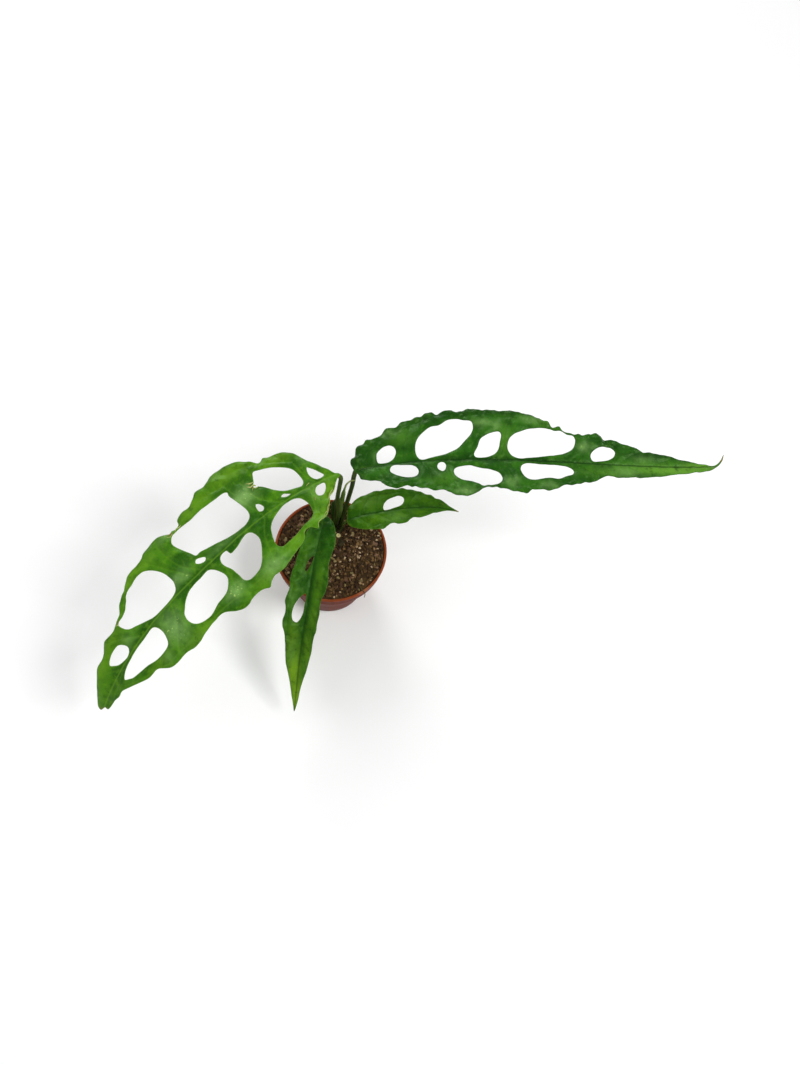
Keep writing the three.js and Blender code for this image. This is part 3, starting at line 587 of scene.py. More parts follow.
POT = PotFinish("pot_terracotta", body=rgb(108, 38, 14), shade=rgb(88, 28, 10), wear_and_highlight=rgb(156, 80, 44),
                lime=rgb(170, 132, 98), rim_height=0.06)
DRIED = MottledFinish("dried_leaf", (rgb(112, 124, 48), rgb(168, 178, 96), rgb(220, 222, 160)), 420, 1800,
                      dullness=0.7)
FLOOR = FloorFinish("pale_floor", colour=rgb(250, 250, 250), mottle=rgb(246, 246, 246))


# Curves and sheets


def array(points: Sequence[Point]) -> Array:
    """Given points as rows of numbers."""
    return np.array(points, float)


def read_table(table: Sequence[Point], at: Array) -> Array:
    """A given table of places and values, read at further places."""
    return np.interp(at, *array(table).T)


def unit(vectors: Array) -> Array:
    """The directions of vectors, one in each row."""
    return vectors / np.linalg.norm(vectors, axis=1, keepdims=True)


def reach_along(path: Array) -> Array:
    """How far along a path each of its points is."""
    return np.concatenate([[0], np.cumsum(np.linalg.norm(np.diff(path, axis=0), axis=1))])


def shares(path: Array) -> Array:
    """How far along a path each of its points is, from 0 to 1."""
    reach = reach_along(path)
    return reach / reach[-1]


def circle_points(count: int) -> Array:
    """Evenly spaced points of the circle of radius 1, one in each row."""
    angles = 2 * math.pi * np.arange(count) / count
    return np.column_stack([np.cos(angles), np.sin(angles)])


def catmull(knots: Sequence[Point] | Array, step: float, closed: bool = False) -> Array:
    """Samples a centripetal Catmull-Rom curve and keeps its knots.

    Args:
        knots: The points that it passes through, one in each row.
        step: About how far apart the samples are.
        closed: Whether the curve returns to its start.

    Returns:
        The samples, one in each row.
    """
    points = array(knots)
    if closed:
        around = np.vstack([points[-1:], points, points[:2]])
    else:
        around = np.vstack([2 * points[:1] - points[1:2], points, 2 * points[-1:] - points[-2:-1]])
    runs = []
    for before, start, end, after in zip(around, around[1:], around[2:], around[3:]):
        pairs = ((before, start), (start, end), (end, after))
        near, span, far = (max(np.linalg.norm(b - a), LEAST_SPAN) ** 0.5 for a, b in pairs)
        leave = ((start - before) / near - (end - before) / (near + span) + (end - start) / span) * span
        arrive = ((end - start) / span - (after - start) / (span + far) + (after - end) / far) * span
        parts = max(1, round(np.linalg.norm(end - start) / step))
        t = np.arange(parts)[:, None] / parts
        bend = 3 * (end - start) - 2 * leave - arrive
        runs.append(start + leave * t + bend * t**2 + (2 * (start - end) + leave + arrive) * t**3)
    if not closed:
        runs.append(points[-1:])
    return np.vstack(runs)


def is_inside(points: Array, loop: Array) -> Array:
    """Which of the flat points lie inside a closed loop.

    Args:
        points: The points, one in each row.
        loop: The corners of the loop, in order.

    Returns:
        True for each point inside.
    """
    x, y = points.T
    inside = np.zeros(len(points), bool)
    for (ax, ay), (bx, by) in zip(loop, np.roll(loop, -1, axis=0)):
        if ay != by:
            inside ^= ((ay > y) != (by > y)) & (x < ax + (y - ay) / (by - ay) * (bx - ax))
    return inside


def is_within(points: Array, loops: Sequence[Array]) -> Array:
    """Which of the flat points lie inside the first loop and outside the others."""
    within = is_inside(points, loops[0])
    for hole in loops[1:]:
        within &= ~is_inside(points, hole)
    return within


def nearest(points: Array, targets: Array) -> Array:
    """How far each flat point is from the nearest of the targets."""
    tree = KDTree(len(targets))
    for index, (x, y) in enumerate(targets):
        tree.insert((x, y, 0), index)
    tree.balance()
    return np.array([tree.find((x, y, 0))[2] for x, y in points])


def thinned(points: Array, distance: float) -> Array:
    """Drops each flat point that is too close to one before it.

    Args:
        points: The points, one in each row.
        distance: How far apart those that stay are.

    Returns:
        The points that stay, in their order.
    """
    kept: dict[tuple[int, int], list[Point]] = {}
    rows = []
    for x, y in points:
        column, row = int(x // distance), int(y // distance)
        cells = ((column + i, row + j) for i in (-1, 0, 1) for j in (-1, 0, 1))
        near = (other for cell in cells for other in kept.get(cell, ()))
        if all(math.hypot(x - ox, y - oy) > distance for ox, oy in near):
            kept.setdefault((column, row), []).append((x, y))
            rows.append((x, y))
    return np.array(rows)


def wobble(places: Array, size: float, seed: float) -> Array:
    """A soft noise between about -1 and 1, for places of two or three numbers."""
    full = np.hstack([places / size, np.full((len(places), 1), seed)])[:, :3]
    shift = seed if places.shape[1] > 2 else 0.0
    return np.array([noise.noise(Vector(row) + Vector((shift, 0, 0))) for row in full])


def bump(distance: Array, width: float) -> Array:
    """A smooth rise from 0 far off to 1 at no distance."""
    return np.exp(-((distance / width) ** 2))


def smooth_step(value: Array, low: float, high: float) -> Array:
    """A soft step from 0 at the low value to 1 at the high one."""
    share = np.clip((value - low) / (high - low), 0, 1)
    return share * share * (3 - 2 * share)


def cut_sheet(loops: Sequence[Array], inner: Array) -> tuple[Array, Array]:
    """Fills a flat outline with small triangles and leaves its holes open.

    Args:
        loops: The outline, then the holes.
        inner: Points within the outline.

    Returns:
        The points, and the triangles as rows of three indices.
    """
    edges = []
    first = 0
    for loop in loops:
        count = len(loop)
        edges += [(first + i, first + (i + 1) % count) for i in range(count)]
        first += count
    flat = [Vector(point) for point in np.vstack([*loops, inner])]
    vertices, _, faces, *_ = delaunay_2d_cdt(flat, edges, [], 0, SAME_POINT)
    points = np.array([tuple(vertex) for vertex in vertices])
    triangles = np.array(faces)
    middles = points[triangles].mean(axis=1)
    return points, triangles[is_within(middles, loops)]


def close_sheet(
    top: Array, bottom: Array, triangles: Array, bulge: float,
) -> tuple[Array, Faces, Array, Array]:
    """Joins two faces of a sheet by a rounded rim.

    Args:
        top: Points of the upper face.
        bottom: Points of the lower face, in the same order.
        triangles: The triangles of the upper face.
        bulge: How far the rim's middle stands out.

    Returns:
        All points, all faces, the row of the sheet that each point belongs to, and 1 for each point
        of the lower face, 0.5 for the rim's middle and 0 for the upper face.
    """
    directed = np.vstack([triangles[:, [0, 1]], triangles[:, [1, 2]], triangles[:, [2, 0]]])
    known = {(a, b) for a, b in directed.tolist()}
    rim = [(a, b) for a, b in directed.tolist() if (b, a) not in known]
    outward = np.zeros_like(top)
    for a, b in rim:
        away = np.cross(top[b] - top[a], top[a] - bottom[a])
        away /= max(np.linalg.norm(away), TINY)
        outward[a] += away
        outward[b] += away
    rows = sorted({index for pair in rim for index in pair})
    lengths = np.maximum(np.linalg.norm(outward[rows], axis=1, keepdims=True), TINY)
    middle = (top[rows] + bottom[rows]) / 2 + outward[rows] / lengths * bulge
    count = len(top)
    half = {row: 2 * count + i for i, row in enumerate(rows)}
    faces: Faces = [tuple(corners) for corners in triangles.tolist()]
    faces += [(c + count, b + count, a + count) for a, b, c in triangles.tolist()]
    for a, b in rim:
        faces += [(b, a, half[a], half[b]), (half[b], half[a], a + count, b + count)]
    owner = np.concatenate([np.arange(count), np.arange(count), rows])
    side = np.concatenate([np.zeros(count), np.ones(count), np.full(len(rows), 0.5)])
    return np.vstack([top, bottom, middle]), faces, owner, side


def make_mesh(
    name: str,
    points: Array,
    faces: Sequence[Sequence[int]],
    attributes: dict[str, Array] | None = None,
    edges: Sequence[tuple[int, int]] = (),
) -> bpy.types.Mesh:
    """A mesh in metres, from points in millimetres.

    Args:
        name: Its name.
        points: The points, one in each row.
        faces: The corners of each face.
        attributes: A number for each point, under its name.
        edges: Edges that belong to no face.

    Returns:
        The mesh.
    """
    mesh = bpy.data.meshes.new(name)
    mesh.from_pydata((points * MM).tolist(), list(edges), faces)
    for label, values in (attributes or {}).items():
        layer = mesh.attributes.new(label, "FLOAT", "POINT")
        layer.data.foreach_set("value", np.asarray(values, np.float32))
    mesh.update()
    return mesh


def make_piece(mesh: bpy.types.Mesh, finish: Finish, smooth: bool = True) -> Piece:
    """Puts a mesh into the scene with its finish.

    Args:
        mesh: The mesh.
        finish: Its material.
        smooth: Whether its faces are shaded as one.

    Returns:
        The piece.
    """
    mesh.materials.append(finish.material())
    if smooth:
        mesh.shade_smooth()
    return place_object(mesh.name, mesh)


def settle(piece: Piece, slot: str, *nodes: str) -> None:
    """Rides a finished piece on the plant's body.

    Args:
        piece: The piece.
        slot: The record's material slot; not used.
        nodes: The solids that it stands for.
    """
    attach(piece, BODY)
    if nodes:
        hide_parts(*nodes)
    piece.data.calc_loop_triangles()
    log.info("%s: %d triangles", piece.name, len(piece.data.loop_triangles))


# Leaves


class Form:
    """The form of one blade in space: frames along its midrib, and the sheet that they carry."""

    samples = 3001
    valley = 3.0

    def __init__(
        self, midrib: Sequence[Point], fold: float, curl: float, wave: Point, rib_bend: Point,
    ) -> None:
        """Measures the midrib.

        Args:
            midrib: The four points of its Bezier curve.
            fold: How steeply the halves rise beside it.
            curl: How much they bend down further out.
            wave: Height, length and half width of the ripple along the margins.
            rib_bend: How far the rib strays sideways, where along it, and over what length.
        """
        start, leave, arrive, end = array(midrib)
        t = np.linspace(0, 1, self.samples)[:, None]
        self.centres = ((1 - t) ** 3 * start + 3 * (1 - t) ** 2 * t * leave
                        + 3 * (1 - t) * t**2 * arrive + t**3 * end)
        self.tangents = ((1 - t) ** 2 * (leave - start) + 2 * (1 - t) * t * (arrive - leave)
                         + t**2 * (end - arrive))
        self.reach = reach_along(self.centres)
        self.length = float(self.reach[-1])
        self.fold, self.curl, self.wave, self.rib_bend = fold, curl, wave, rib_bend

    def _read(self, table: Array, s: Array) -> Array:
        """Rows of a table at distances along the midrib."""
        return np.column_stack([np.interp(s, self.reach, column) for column in table.T])

    def rib_line(self, u: Array) -> Array:
        """How far the rib's line lies beside the midrib curve."""
        shift, middle, spread = self.rib_bend
        return shift * bump(u - middle, spread)

    def lift(self, u: Array, v: Array) -> Array:
        """How far the plain sheet lies above its frame."""
        height, length, half_width = self.wave
        ripple = height * (v / half_width) ** 2 * np.sin(2 * math.pi * u / length + np.sign(v))
        return self.fold * (np.hypot(v, self.valley) - self.valley) + self.curl * v**2 + ripple

    def points(self, u: Array, v: Array, offset: Array | float) -> Array:
        """Places in space.

        Args:
            u: Distances along the midrib.
            v: Distances across it, to the left.
            offset: How far above the plain sheet.

        Returns:
            The places, one in each row.
        """
        s = np.clip(u, 0, self.length)
        along = unit(self._read(self.tangents, s))
        across = unit(np.column_stack([-along[:, 1], along[:, 0], np.zeros(len(s))]))
        up = np.cross(along, across)
        centre = self._read(self.centres, s) + along * (u - s)[:, None]
        return centre + across * v[:, None] + up * (self.lift(u, v) + offset)[:, None]


@dataclass
class Blade:
    """One leaf blade, drawn flat and carried by its form."""

    side: str
    slot: str
    finish: LeafFinish
    form: Form
    outline: Line
    holes: tuple[Line, ...]
    veins: tuple[Line, ...]
    patches: dict[Tint, Line]
    seed: float
    thickness: float = 0.46
    margin_thickness: float = 0.3
    margin_width: float = 1.6
    rim_bulge: float = 0.1
    rib_depth: float = 0.95
    rib_half_width: float = 1.6
    rib_taper: float = 0.65
    groove: float = 0.42
    groove_width: float = 0.95
    shoulder: float = 0.16
    shoulder_place: float = 2.1
    shoulder_width: float = 1.1
    ridge: float = 0.0
    ridge_width: float = 0.42
    vein_depth: float = 0.16
    vein_width: float = 0.7
    under_vein: float = 0.3
    quilt: float = 0.75
    cushion_width: float = 4.2
    edge_calm: float = 2.4
    cloud: float = 0.5
    cloud_sizes: Point = (9.5, 4.3, 1.9)
    ripple: float = 0.7
    ripple_size: float = 6.5
    ripple_width: float = 5.0
    margin_drop: float = 0.35
    drop_width: float = 1.3
    edge_step: float = 1.1
    fill_step: float = 1.15
    row_step: float = 0.95
    rib_rows: Point = (0, 0.4, -0.4, 0.85, -0.85, 1.35, -1.35, 2, -2)
    vein_rows: Point = (0, 0.5, -0.5, 1, -1)
    past_base: float = 4.0
    past_tip: float = 16.0
    edge_gap: float = 0.5
    point_gap: float = 0.36
    measure_step: float = 0.12

    def _rows(self, lines: Sequence[Array], offsets: Sequence[float]) -> Array:
        """Points along lines and beside them.

        Args:
            lines: The lines, each as close points.
            offsets: How far beside them, to the left.

        Returns:
            All the points, one in each row.
        """
        rows = []
        for line in lines:
            along = unit(np.gradient(line, axis=0))
            beside = np.column_stack([-along[:, 1], along[:, 0]])
            rows += [line + beside * offset for offset in offsets]
        return np.vstack(rows)

    def _vein_lines(self, step: float) -> list[Array]:
        """The side veins as close points."""
        return [catmull(vein, step) for vein in self.veins]

    def _rib_line(self) -> Array:
        """The midrib as close points on the flat leaf."""
        u = np.arange(0.4, self.form.length + 12, self.row_step)
        return np.column_stack([u, self.form.rib_line(u)])

    def _lattice(self) -> Array:
        """Staggered points all over the leaf, each a little astray."""
        reach = np.abs(array(self.outline)[:, 1]).max() + self.fill_step
        u = np.arange(-self.past_base, self.form.length + self.past_tip, self.fill_step)
        height = self.fill_step * math.sqrt(3) / 2
        most = int(reach / height)
        lattice = np.vstack([np.column_stack([u + (n % 2) * self.fill_step / 2, np.full(len(u), n * height)])
                             for n in range(-most, most + 1)])
        return lattice + np.column_stack([wobble(lattice, 0.9, 3.1), wobble(lattice, 0.9, 7.7)]) * 0.2

    def _inner_points(self, loops: Sequence[Array]) -> Array:
        """Close rows along rib and veins, and a staggered lattice elsewhere."""
        rib = self._rows([self._rib_line()], self.rib_rows)
        veins = self._rows(self._vein_lines(self.row_step), self.vein_rows)
        points = np.vstack([rib, veins, self._lattice()])
        points = points[is_within(points, loops)]
        points = points[nearest(points, np.vstack(loops)) > self.edge_gap]
        return thinned(points, self.point_gap)

    def _relief(self, u: Array, v: Array, far: dict[str, Array]) -> Array:
        """How far the living leaf departs from its plain form.

        Args:
            u: Distances along the midrib.
            v: Distances across it.
            far: Distances from rib, veins, any edge and the outer margin.

        Returns:
            The height of the relief at each place.
        """
        flat = np.column_stack([u, v])
        along = u / self.form.length
        fade = smooth_step(u, -3, 8) * (1 - 0.55 * along)
        still = 1 - 0.65 * smooth_step(along, 0.6, 0.85)
        relief = -self.groove * bump(far["rib"], self.groove_width) * fade
        relief += self.shoulder * bump(far["rib"] - self.shoulder_place, self.shoulder_width) * fade
        relief += self.ridge * bump(far["rib"], self.ridge_width) * fade
        relief -= self.vein_depth * bump(far["vein"], self.vein_width)
        calm = 1 - bump(far["edge"], self.edge_calm)
        between = np.minimum(far["vein"], far["rib"])
        relief += self.quilt * (1 - bump(between, self.cushion_width)) * calm * still
        broad, middling, fine = self.cloud_sizes
        folds = wobble(flat, broad, self.seed) + 0.5 * wobble(flat, middling, self.seed + 4)
        relief += self.cloud * (folds + 0.14 * wobble(flat, fine, self.seed + 5)) * still
        curl = wobble(flat, self.ripple_size, self.seed + 9)
        relief += self.ripple * bump(far["margin"], self.ripple_width) * curl * 1.6 * still
        droop = 0.6 + 0.8 * wobble(flat, 5, self.seed + 2)
        relief -= self.margin_drop * bump(far["edge"], self.drop_width) * droop
        return relief

    def _tints(self, u: Array, v: Array) -> dict[str, Array]:
        """The strength of each tint at each place.

        Args:
            u: Distances along the midrib.
            v: Distances across it.

        Returns:
            A number for each place, under the tint's attribute.
        """
        stray = 1.3 * wobble(np.column_stack([u, v]), 4.5, self.seed + 3)
        tints = {}
        for tint in Tint:
            strength = np.zeros(len(u))
            for at_u, at_v, length, width, most in self.patches.get(tint, ()):
                far = np.hypot((u - at_u + stray) / length, (v - at_v + stray) / width)
                strength = np.maximum(strength, most * np.exp(-(far**2)))
            tints[tint.value] = strength
        return tints

    def _distances(self, flat: Array, loops: Sequence[Array]) -> dict[str, Array]:
        """How far each flat point is from rib, veins, any edge and the outer margin.

        Args:
            flat: The points.
            loops: The outline, then the holes.

        Returns:
            The four rows of distances, by name.
        """
        edges = [np.vstack([loop + (np.roll(loop, -1, axis=0) - loop) * s for s in (0, 0.25, 0.5, 0.75)])
                 for loop in loops]
        return {
            "rib": np.abs(flat[:, 1] - self.form.rib_line(flat[:, 0])),
            "vein": nearest(flat, np.vstack(self._vein_lines(self.measure_step))),
            "edge": nearest(flat, np.vstack(edges)),
            "margin": nearest(flat, edges[0]),
        }

    def _under_ribs(self, u: Array, far: dict[str, Array]) -> tuple[Array, Array]:
        """How far the midrib and the side veins stand out below.

        Args:
            u: Distances along the midrib.
            far: Distances from rib, veins and edges.

        Returns:
            The depth of the midrib, and that of the veins.
        """
        share = np.clip(1 - (far["rib"] / self.rib_half_width) ** 2, 0, 1) ** 0.5
        rib = self.rib_depth * (1 - self.rib_taper * np.clip(u / self.form.length, 0, 1)) * share
        veins = self.under_vein * bump(far["vein"], 0.6) * smooth_step(far["edge"], 0, 1.5)
        return rib * smooth_step(far["edge"], 0, 1.2), veins

    def build(self) -> Piece:
        """Makes the blade's mesh."""
        loops = [catmull(loop, self.edge_step, True) for loop in (self.outline, *self.holes)]
        flat, triangles = cut_sheet(loops, self._inner_points(loops))
        u, v = flat.T
        far = self._distances(flat, loops)
        relief = self._relief(u, v, far)
        body = smooth_step(far["edge"], 0, self.margin_width)
        half = (self.margin_thickness + (self.thickness - self.margin_thickness) * body) / 2
        rib, veins = self._under_ribs(u, far)
        top = self.form.points(u, v, relief + half)
        bottom = self.form.points(u, v, relief - half - rib - veins)
        points, faces, owner, side = close_sheet(top, bottom, triangles, self.rim_bulge)
        values = {
            "rib": bump(far["rib"], 0.5) * smooth_step(u, -2, 2),
            "vein": bump(far["vein"], 0.6) * (1 - bump(far["rib"], 0.8)),
            "edge": np.clip(far["edge"] / 6, 0, 1),
            **self._tints(u, v),
        }
        attributes = {label: numbers[owner] for label, numbers in values.items()}
        attributes["under"] = side
        return make_piece(make_mesh("blade_" + self.side, points, faces, attributes), self.finish)

    def dress(self, piece: Piece) -> None:
        """Rides the blade on the plant's body, in place of its solid."""
        settle(piece, self.slot, "leaf_" + self.side)


# Strips, turned solids and wires


def ribbon(
    path: Array,
    half_widths: Array,
    side: Point,
    cup: float,
    thickness: float,
    crinkle: float = 0.0,
    seed: float = 0.0,
) -> tuple[Array, Faces]:
    """A thin strip along a path.

    Args:
        path: The middle line, one point in each row.
        half_widths: Half the strip's width at each point.
        side: The direction that the width lies along.
        cup: How far the edges stand up, as a share of the half width.
        thickness: The strip's thickness.
        crinkle: How far it is crumpled.
        seed: Which crumple it has.

    Returns:
        Points and faces of a closed strip.
    """
    columns = 9
    along = unit(np.gradient(path, axis=0))
    wide = unit(np.array(side, float) - along * (along @ np.array(side, float))[:, None])
    deep = np.cross(along, wide)
    across = np.linspace(-1, 1, columns)
    offsets = half_widths[:, None] * across
    heights = cup * half_widths[:, None] * across**2
    sheet = path[:, None] + wide[:, None] * offsets[..., None] + deep[:, None] * heights[..., None]
    sheet = sheet.reshape(-1, 3)
    if crinkle:
        shift = [wobble(sheet, 3.2, seed + n) + 0.4 * wobble(sheet, 1.1, seed + n + 7) for n in range(3)]
        sheet = sheet + crinkle * np.stack(shift, axis=1)
    normal = np.repeat(deep, columns, axis=0)
    rows = len(path)
    corner = np.arange(rows * columns).reshape(rows, columns)
    a, b, c, d = (part.ravel() for part in
                  (corner[:-1, :-1], corner[1:, :-1], corner[1:, 1:], corner[:-1, 1:]))
    triangles = np.vstack([np.column_stack([a, b, c]), np.column_stack([a, c, d])])
    half = normal * thickness / 2
    points, faces, *_ = close_sheet(sheet + half, sheet - half, triangles, thickness * 0.3)
    return points, faces


def turned(profile: Array, sectors: int) -> tuple[Array, Faces]:
    """A closed solid of revolution round Z.

    Args:
        profile: Radius and height, from the axis at the foot to the axis at the top.
        sectors: How many sides it has.

    Returns:
        Points and faces; the first and last points lie on the axis.
    """
    circle = circle_points(sectors)
    rings = [np.column_stack([r * circle, np.full(sectors, z)]) for r, z in profile[1:-1]]
    points = np.vstack([[[0, 0, profile[0][1]]], *rings, [[0, 0, profile[-1][1]]]])
    faces: Faces = []
    last = len(points) - 1
    top = last - sectors
    for i in range(sectors):
        j = (i + 1) % sectors
        faces += [(0, 1 + j, 1 + i), (last, top + i, top + j)]
        for ring in range(len(rings) - 1):
            low = 1 + ring * sectors
            faces.append((low + i, low + j, low + sectors + j, low + sectors + i))
    return points, faces


def joined(
    parts: Sequence[tuple[Array, Sequence[Sequence[int]]]],
) -> tuple[Array, Faces]:
    """Several meshes' points and faces as one.

    Args:
        parts: The points and the faces of each mesh.

    Returns:
        All points and all faces.
    """
    points, faces = [], []
    first = 0
    for more, corners in parts:
        points.append(more)
        faces += [tuple(index + first for index in face) for face in corners]
        first += len(more)
    return np.vstack(points), faces


def stalk_recipe(name: str, sides: int, groove: float, roughness: float, finish: Finish) -> Recipe:
    """A tree that turns wires into grooved stalks or roots.

    Args:
        name: The tree's name.
        sides: Sides of the section.
        groove: Depth of the channel, as a share of the radius.
        roughness: How far the skin is uneven, in metres.
        finish: The material.

    Returns:
        The recipe; its host mesh carries the radius of each point in metres as girth.
    """
    recipe = Recipe(name, {"Sides": sides, "Groove": groove, "Roughness": roughness})
    graph = recipe.graph
    add = graph.add
    wire = add("GeometryNodeMeshToCurve", {"Mesh": recipe.source})
    circle = add("GeometryNodeCurvePrimitiveCircle", {"Resolution": recipe.size("Sides"), "Radius": 1.0})
    place = add("GeometryNodeInputPosition")
    height = add("ShaderNodeSeparateXYZ", {"Vector": place}, "Y")
    dent = graph.maths("MAXIMUM", height, 0.0) ** 6.0 * recipe.size("Groove")
    inward = graph.scaled(place, 1 - dent)
    section = add("GeometryNodeSetPosition", {"Geometry": circle, "Position": inward})
    girth = add("GeometryNodeInputNamedAttribute", {"Name": "girth"}, data_type="FLOAT")
    tube = add("GeometryNodeCurveToMesh",
               {"Curve": wire, "Profile Curve": section, "Scale": girth, "Fill Caps": True})
    uneven = graph.noise(add("GeometryNodeInputPosition"), 700, 3) - 0.5
    offset = graph.scaled(add("GeometryNodeInputNormal"), uneven * recipe.size("Roughness"))
    recipe.end(graph.moved(tube, offset), finish.material())
    return recipe


def wire_mesh(
    name: str, paths: Sequence[Array], girths: Sequence[Array], young_and_lit: Sequence[Array],
) -> bpy.types.Mesh:
    """The host of a stalk recipe.

    Args:
        name: The mesh's name.
        paths: The middle lines, in millimetres.
        girths: Radius at each of their points, in millimetres.
        young_and_lit: How pale each of their points is, from 0 to 1.

    Returns:
        A mesh of edges alone.
    """
    edges = []
    first = 0
    for path in paths:
        edges += [(first + i, first + i + 1) for i in range(len(path) - 1)]
        first += len(path)
    values = {"girth": np.concatenate(girths) * MM, "young_and_lit": np.concatenate(young_and_lit)}
    return make_mesh(name, np.vstack(paths), [], values, edges)


# Stalks and crown


@dataclass
class Stalk:
    """A petiole that rises from the crown and runs into the underside of its blade."""

    side: str
    form: Form
    route: Line
    girth: Line
    young_and_lit: Line
    root: Point
    finish: Finish = STALK
    below: float = 2.2
    rib_run: float = 8.0
    step: float = 0.7
    sides: int = 22
    groove: float = 0.16
    roughness: float = 0.00012
    near_run: Point = (0.2, 3.4)
    end_depth: float = 0.62

    def path(self) -> Array:
        """The middle line, from inside the crown to the blade's rib."""
        u = np.array([*self.near_run, self.rib_run])
        depth = np.array([self.below, self.below, self.below * self.end_depth])
        ends = self.form.points(u, self.form.rib_line(u), -depth)
        return catmull([self.root, *self.route, *ends], self.step)

    def build(self) -> Piece:
        """Grows the stalk along its path."""
        name = "stalk_" + self.side
        path = self.path()
        along = shares(path)
        host = wire_mesh(name, [path], [read_table(self.girth, along)], [read_table(self.young_and_lit, along)])
        recipe = stalk_recipe(name + "_growth", self.sides, self.groove, self.roughness, self.finish)
        piece = recipe.run(name, host)
        piece.data.shade_smooth()
        return piece

    def dress(self, piece: Piece) -> None:
        """Rides the stalk on the plant's body, in place of its solid."""
        settle(piece, "petiole", "petiole_" + self.side)


@dataclass
class Sheath:
    """The winged sheath on the left stalk, with its leaning tongue; the papery scales below are built with
    the crown.
    """

    stalk: Stalk
    wings: Line
    tongue: Line
    tongue_width: Line
    wing_cup: float = 0.22
    wing_thickness: float = 0.5
    wing_shift: Point = (0.15, 0.45, 0)
    lit_side_from: float = 2.4
    lit_side_over: float = 3.0
    tongue_cup: float = 0.4
    tongue_thickness: float = 0.4
    dry_from: float = 118.0
    dry_over: float = 9.0
    step: float = 0.6

    def build_wings(self) -> Piece:
        """Makes the two membranes beside the stalk."""
        path = self.stalk.path()
        along = shares(path)
        span = (along >= self.wings[0][0]) & (along <= self.wings[-1][0])
        points, faces = ribbon(
            path[span] + self.wing_shift, read_table(self.wings, along[span]), (1, 0.06, 0), self.wing_cup,
            self.wing_thickness, crinkle=0.16, seed=4.0,
        )
        # Lighter toward +x: partly painted light on the wings' lit side, partly their olive colour there.
        pale = np.clip((points[:, 0] - self.lit_side_from) / self.lit_side_over, 0, 1) * 0.75
        return make_piece(make_mesh("sheath_wings", points, faces, {"young_and_lit": pale}), SHEATH)

    def build_tongue(self) -> Piece:
        """Makes the light tongue that leans over to the right stalk."""
        path = catmull(self.tongue, self.step)
        points, faces = ribbon(
            path, read_table(self.tongue_width, shares(path)), (1, -0.25, 0), self.tongue_cup,
            self.tongue_thickness, crinkle=0.14, seed=9.0,
        )
        dried = np.clip((points[:, 2] - self.dry_from) / self.dry_over, 0, 1)
        return make_piece(make_mesh("sheath_tongue", points, faces, {"young_and_lit": dried}), TONGUE)

    def dress(self, wings: Piece, tongue: Piece) -> None:
        """Rides both pieces on the plant's body; the tongue takes the place of its solid."""
        settle(wings, "petiole")
        settle(tongue, "withered_sheath", "withered_sheath")


@dataclass
class Crown:
    """The short stem: a ridged knot with an old node beside it and brown scales round it."""

    centre: Point
    radius: float = 5.2
    profile: Line = (
        (0.8, 40), (1, 43), (1.04, 50), (1.06, 54), (1.05, 57), (1.02, 59), (0.96, 60.4), (0.84, 61.5),
        (0.66, 62.2), (0.42, 62.5), (0.2, 62.6),
    )
    knot: Point = (6.4, 5.8, 58.8)
    knot_size: Point = (3.6, 3.4, 2.4)
    step: float = 0.5
    sectors: int = 72
    knot_sectors: int = 40
    rough_above: float = 58.0
    scale_foot: float = 56.0
    scale_gap: float = 1.2
    scale_thickness: float = 0.28
    scale_step: float = 0.45
    scales: Line = (
        (200, 3.9, 7.4, 2.6), (262, 3.2, 5.2, 2.2), (318, 3.9, 6.8, 2.4), (20, 3.6, 6, 2.6), (85, 4, 5, 2.4),
        (140, 3.8, 6.4, 2.2),
    )

    def build(self) -> Piece:
        """Makes the knot and the old node."""
        side = catmull(array(self.profile) * (self.radius, 1), self.step)
        ends = ((0, self.profile[0][1]), (0, self.profile[-1][1]))
        stem, faces = turned(np.vstack([ends[:1], side, ends[1:]]), self.sectors)
        angle = np.arctan2(stem[:, 1], stem[:, 0])
        ridges = np.column_stack([3 * np.cos(angle), 3 * np.sin(angle), stem[:, 2] * 0.12])
        swell = 1 + 0.09 * wobble(ridges, 0.5, 2.0) + 0.04 * wobble(stem, 0.8, 5.0)
        stem[:, :2] *= swell[:, None]
        stem[:, 2] += 0.35 * wobble(stem, 1.6, 8.0) * (stem[:, 2] > self.rough_above)
        stem += (*self.centre, 0)
        ball = array([(0, -1), *((math.sin(t), -math.cos(t)) for t in np.linspace(0.15, 3.0, 16)), (0, 1)])
        node, more = turned(ball, self.knot_sectors)
        node *= (1 + 0.3 * wobble(node, 0.6, 3.0) + 0.08 * wobble(node, 0.2, 4.0))[:, None]
        node = node * self.knot_size + self.knot
        mesh = make_mesh("crown", *joined([(stem, faces), (node, more)]))
        return make_piece(mesh, CROWN)

    def build_scales(self) -> Piece:
        """Makes the brown papery remains of old sheaths that clasp the crown."""
        parts = []
        for index, (degrees, reach, height, width) in enumerate(self.scales):
            angle = math.radians(degrees)
            out = np.array([math.cos(angle), math.sin(angle), 0])
            start = np.array([*self.centre, self.scale_foot]) + out * (reach + self.scale_gap)
            rises = ((0, 0), (0.5, 3), (0.2, height * 0.75), (0.9, height))
            path = catmull([start + out * lean + (0, 0, rise) for lean, rise in rises], self.scale_step)
            widths = np.interp(shares(path), (0, 0.45, 0.8, 1), (width, width * 0.9, width * 0.5, 0.15))
            parts.append(ribbon(path, widths, (-out[1], out[0], 0), cup=-0.35,
                                thickness=self.scale_thickness, crinkle=0.35, seed=11.0 + index))
        points, faces = joined(parts)
        return make_piece(make_mesh("crown_scales", points, faces), PAPER)

    def dress(self, stem: Piece, scales: Piece) -> None:
        """Rides both pieces on the plant's body; the stem piece takes the place of the stem's solid."""
        settle(stem, "stem", "stem")
        settle(scales, "stem")


